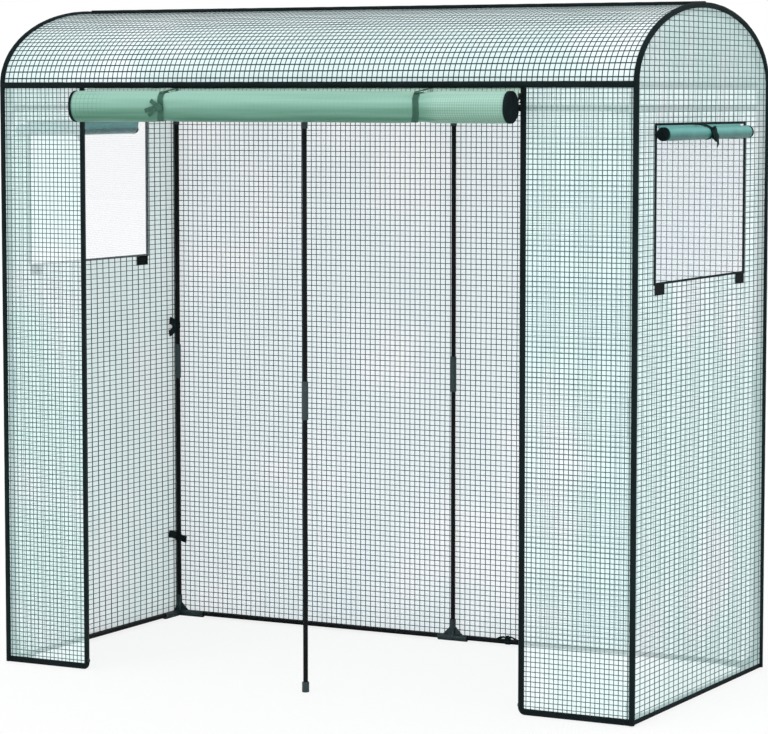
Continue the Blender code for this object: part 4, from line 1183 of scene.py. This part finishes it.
class GREENHOUSE_OT_door_ties(bpy.types.Operator):
    """Ties up the rolled door: a loop at each side, and the knot and tails of the left one"""

    bl_idname = "greenhouse.door_ties"
    bl_label = "Door ties"

    def execute(self, context):
        cloth, width = cover_cloth()["tie"], context.scene.greenhouse_trim.tie_width
        out, up = DOOR_ROLL_MIDDLE
        for end, sign in SIDE.items():
            x = sign * TIE_X
            ring = []
            for turn in around(56):
                radius = (DOOR_ROLL_R + TAPE_LIFT) * (1 + door_dent(turn, x))
                ring.append(door_place(*on_circle(DOOR_ROLL_MIDDLE, radius, turn), x - tie_lean(turn)))
            # Over the top of the roll and back to the seam under the eave.
            hold = [door_place(out + 0.0385 * math.cos(turn), up + 0.0400 * math.sin(turn),
                               x - tie_lean(turn)) for turn in (1.05, 1.35, 1.6)]
            hold += [door_place(0.030, -0.0130, x - 0.005), door_place(0.015, -0.0100, x - 0.002),
                     door_place(0.0045, -0.0090, x)]
            parts = [strap("ring", ring, (1, 0, 0), width, TIE_THICKNESS, cloth, closed=True),
                     strap("hold", curve_through(hold), (1, 0, 0), width * 0.8, TIE_THICKNESS, cloth)]
            if end == "left":
                parts += self.knot(x, door_place(out + DOOR_ROLL_R * 0.93 + 0.0035, up, x - 0.001), cloth)
            tie = join(f"door_tie_cloth_{end}", parts)
            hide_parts(f"door_tie_{end}")
        return {"FINISHED"}

    def knot(self, x, knot, cloth):
        """The knot and its three tails. Each tail has its tip's place, how far it lifts, and its width."""
        parts = [knot_wrap("knot", knot, (0, -1, 0), 0.0080, 0.0095, 0.0085, cloth)]
        tails = ((-0.0290, 0.0170, 0.006, 0.0105), (-0.0450, -0.0090, 0.004, 0.0105),
                 (-0.0350, -0.0220, 0.007, 0.0095))
        for number, (tip_x, tip_z, lift, wide) in enumerate(tails):
            far = Vector((x + tip_x, knot.y, knot.z + tip_z))
            points = [knot, knot.lerp(far, 0.22) + Vector((0, -0.0022, 0.002)),
                      knot.lerp(far, 0.5) + Vector((0, -lift * 0.55, 0.0015)),
                      far + Vector((0, lift * 0.6, 0))]
            aim = (far - knot).normalized()
            across = Vector((-aim.z, 0.25 * (number - 1), aim.x)).normalized()
            parts.append(strap(f"tail{number}", curve_through(points), across, wide, TIE_THICKNESS * 0.9,
                               cloth, cup=0.0008))
        return parts


class GREENHOUSE_OT_nets(bpy.types.Operator):
    """Makes the insect net in each window, thread by thread"""

    bl_idname = "greenhouse.nets"
    bl_label = "Insect nets"

    def execute(self, context):
        settings = context.scene.greenhouse_trim
        haze, white = insect_net("knitted_net_haze", 0.10), insect_net("knitted_net_thread", 0.2)
        across = (WINDOW_FRONT - NET_BORDER, WINDOW_BACK + NET_BORDER)
        up = (WINDOW_SILL - NET_BORDER, WINDOW_TOP + NET_BORDER)
        # The real net has about 600 threads a metre, which only show as haze. Every third one is drawn.
        runs, wide = crossed(across, up, [settings.net_pitch] * 2, up), settings.net_thread
        for end, sign in SIDE.items():

            def place(y, z, sign=sign):
                sag = fade(min(y - WINDOW_FRONT, WINDOW_BACK - y), 0.15)
                sag *= fade(min(z - WINDOW_SILL, WINDOW_TOP - z), 0.12)
                return Vector((sign * (NET_X - 0.0016 * sag * (1 + 0.4 * ripple(y * 2, z * 2, 3))), y, z))

            surface = Surface("end", sign, span(*across, 22), span(*up, 15), place=place)
            net = film_sheet(f"window_net_cloth_{end}", surface, haze)
            threads = thread_mesh(f"window_net_threads_{end}", surface, runs, (wide, wide), wide * 0.9, white)
            sew("net", f"window_net_{end}", net, [threads], flat=(across[1] - across[0], up[1] - up[0]),
                held="stretched", rests_on=[f"window_frame_{end}"])
        return {"FINISHED"}


class GREENHOUSE_OT_fittings(bpy.types.Operator):
    """Sews on the patches under the windows and the ties that hold the cover to the frame"""

    bl_idname = "greenhouse.fittings"
    bl_label = "Sewn fittings"

    def execute(self, context):
        cloth, trim = cover_cloth(), context.scene.greenhouse_trim
        wide, half = trim.patch_width, trim.patch_height / 2
        for end, sign in SIDE.items():
            for name, y in (("front", WINDOW_FRONT + wide / 2 - 0.002),
                            ("back", WINDOW_BACK - wide / 2 + 0.002)):
                z = WINDOW_SILL - LEVEL_TAPE - half + 0.001
                for face, way in (("out", 1), ("in", -1)):
                    x = sign * (FILM_X + way * 0.0016)
                    path = [(x, y, z + dz) for dz in span(-half, half, 10)]
                    patch = tape(f"patch_{end}_{name}_{face}", path, (sign * way, 0, 0), wide, 0.0022,
                                 cloth["patch"])
        along, over = Vector((-0.10, -0.99, 0)), Vector((0.99, -0.12, 0))
        for name, z, ends in (("upper", 0.838, ((along, 0.034, 0.017), (along, 0.036, -0.020))),
                              ("lower", 0.232, ((along, 0.042, 0.010), (over, 0.031, -0.009)))):
            place = Vector((-TUBE_X, TUBE_BACK_Y, 0)) + Vector((0, 0, z))
            self.post_tie(f"cover_tie_post_{name}", place, ends, cloth["tape"])
        self.base_tie("cover_tie_base", Vector((0.168, TUBE_BACK_Y, BASE_Z)), cloth["tape"])
        return {"FINISHED"}

    def ring(self, place, axis, out, width, material):
        """A tape round a tube."""
        out = Vector(out).normalized()
        beside, reach = Vector(axis).cross(out), TUBE_R + TAPE_LIFT
        ring = [place + (out * math.cos(turn) + beside * math.sin(turn)) * reach for turn in around(24)]
        return strap("ring", ring, axis, width, 0.001, material, closed=True)

    def post_tie(self, name, place, ends, material):
        """A tape tied round a post. Each end has a way to go, a length and a rise."""
        front = Vector((0.25, -0.97, 0)).normalized()
        knot = place + front * (TUBE_R + TAPE_LIFT + 0.0030)
        parts = [self.ring(place, (0, 0, 1), (-0.45, -0.89, 0), 0.016, material),
                 knot_wrap("knot", knot, front, 0.0085, 0.0085, 0.0050, material)]
        for number, (way, length, rise) in enumerate(ends):
            aim = (way * length + Vector((0, 0, rise))).normalized()
            points = [knot - Vector((0, 0, 0.001))]
            for part, back, up in ((0.35, -0.0015, 0.45), (0.7, 0, 0.85), (1, 0, 1)):
                points.append(knot + way * length * part + Vector((0, back, rise * up)))
            across = Vector((-aim.x * aim.z, -aim.y * aim.z, 1 - aim.z ** 2)).normalized()
            parts.append(strap(f"tail{number}", curve_through(points), across, 0.0215 - 0.002 * number,
                               0.0011, material, cup=0.0008))
        join(name, parts)

    def base_tie(self, name, place, material):
        """A tape round the base tube, knotted on top, with an end lying along the tube each way."""
        out = (0, -0.35, 1)
        knot = place + Vector(out).normalized() * (TUBE_R + TAPE_LIFT + 0.0045)
        parts = [self.ring(place, (1, 0, 0), out, 0.014, material),
                 knot_wrap("knot", knot, (0, -1, 0.2), 0.0075, 0.0062, 0.0060, material)]
        for number, way in enumerate((-1, 1)):
            bends = ((0, 0, 0), (0.010, -0.001, 0.0032), (0.020, -0.002, 0.0012),
                     (0.030 + 0.003 * number, -0.0015, -0.0038))
            points = [knot + Vector((way * x, y, z)) for x, y, z in bends]
            parts.append(strap(f"tail{number}", curve_through(points), (0, -0.75, 0.65), 0.0095, 0.0010,
                               material, cup=0.0005))
        join(name, parts)


class GREENHOUSE_OT_stage(bpy.types.Operator):
    """Sets up the pale floor, the soft light and the camera"""

    bl_idname = "greenhouse.stage"
    bl_label = "Stage"

    def execute(self, context):
        scene = context.scene
        bpy.ops.object.select_all(action="DESELECT")
        bpy.ops.mesh.primitive_plane_add(size=60, location=(0, 0, 0))
        floor = context.object
        floor.name = floor.data.name = "floor"
        material, tree, shader = start_material("painted_floor", "#f6f7f7", 0.7)
        # Seen straight on it is mostly white, and it keeps the object's soft shadow.
        share_seen = add(tree, "Math MULTIPLY", add(tree, "LightPath").outputs["Is Camera Ray"], 0.82)
        glow = add(tree, "Emission", Color="#ffffff", Strength=1.0)
        speck = add(tree, "TexNoise", Vector=on_object(tree), Scale=3.0, Detail=3.0)
        wire(tree, shader, Base_Color=add(tree, "Mix RGBA", speck, "#f3f4f4", "#f9fafa"))
        both = add(tree, "MixShader", share_seen, shader, glow)
        wire(tree, tree.nodes["Material Output"], Surface=both)
        floor.data.materials.append(material)

        world = bpy.data.worlds.new("studio")
        world.use_nodes = True
        tree = world.node_tree
        tree.nodes.clear()
        path = add(tree, "LightPath").outputs
        seen = add(tree, "Math MAXIMUM", path["Is Camera Ray"], path["Is Glossy Ray"])
        seen = add(tree, "Math MAXIMUM", seen, path["Is Transmission Ray"])
        lit, shown = [add(tree, "Background", Color="#ffffff", Strength=strength) for strength in (1.05, 1.0)]
        end = add(tree, "OutputWorld", Surface=add(tree, "MixShader", seen, lit, shown))
        end.is_active_output = True
        scene.world = world

        for name, strength, angle, turn in (("key", 0.45, 32, (48, 6, -28)), ("fill", 0.20, 60, (60, 0, 55))):
            lamp = bpy.data.lights.new(name, "SUN")
            lamp.energy, lamp.angle = strength, math.radians(angle)
            self.put(scene, name, lamp, (0, 0, 0), turn)
        camera = bpy.data.cameras.new("photo")
        camera.lens, camera.sensor_width = 3048.6 / 768 * 36, 36
        camera.clip_start, camera.clip_end = 0.1, 200
        place = (3.7146, -7.0029 + CENTRE_Y, 1.4941)
        scene.camera = self.put(scene, "photo", camera, place, (90 - 5.092, 0, 27.916))
        scene.view_settings.view_transform = "Standard"
        return {"FINISHED"}

    def put(self, scene, name, data, place, turn):
        """Puts a lamp or a camera in the scene, turned by degrees."""
        holder = bpy.data.objects.new(name, data)
        holder.location = place
        holder.rotation_euler = [math.radians(value) for value in turn]
        scene.collection.objects.link(holder)
        return holder


PIECES = [
    GREENHOUSE_OT_stage, GREENHOUSE_OT_frame, GREENHOUSE_OT_roof, GREENHOUSE_OT_back, GREENHOUSE_OT_ends,
    GREENHOUSE_OT_fronts, GREENHOUSE_OT_zips, GREENHOUSE_OT_door_flap, GREENHOUSE_OT_door_ties,
    GREENHOUSE_OT_window_flaps, GREENHOUSE_OT_nets, GREENHOUSE_OT_fittings,
]
SETTINGS = {
    "greenhouse_film": GreenhouseFilmSettings,
    "greenhouse_flaps": GreenhouseFlapSettings,
    "greenhouse_trim": GreenhouseTrimSettings,
}


class VIEW3D_PT_greenhouse(bpy.types.Panel):
    """Lists the greenhouse's sizes and pieces"""

    bl_label = "Greenhouse"
    bl_space_type = "VIEW_3D"
    bl_region_type = "UI"
    bl_category = "Greenhouse"

    def draw(self, context):
        for name, group in SETTINGS.items():
            box = self.layout.box()
            for key in group.__annotations__:
                box.prop(getattr(context.scene, name), key)
        for piece in PIECES:
            self.layout.operator(piece.bl_idname)


def register():
    for group in (*SETTINGS.values(), *PIECES, VIEW3D_PT_greenhouse):
        bpy.utils.register_class(group)
    for name, group in SETTINGS.items():
        setattr(bpy.types.Scene, name, PointerProperty(type=group))


def unregister():
    for name in SETTINGS:
        delattr(bpy.types.Scene, name)
    for group in reversed((*SETTINGS.values(), *PIECES, VIEW3D_PT_greenhouse)):
        bpy.utils.unregister_class(group)


def main():
    register()
    for piece in PIECES:
        space, name = piece.bl_idname.split(".")
        getattr(getattr(bpy.ops, space), name)()


if __name__ == "__main__":
    main()
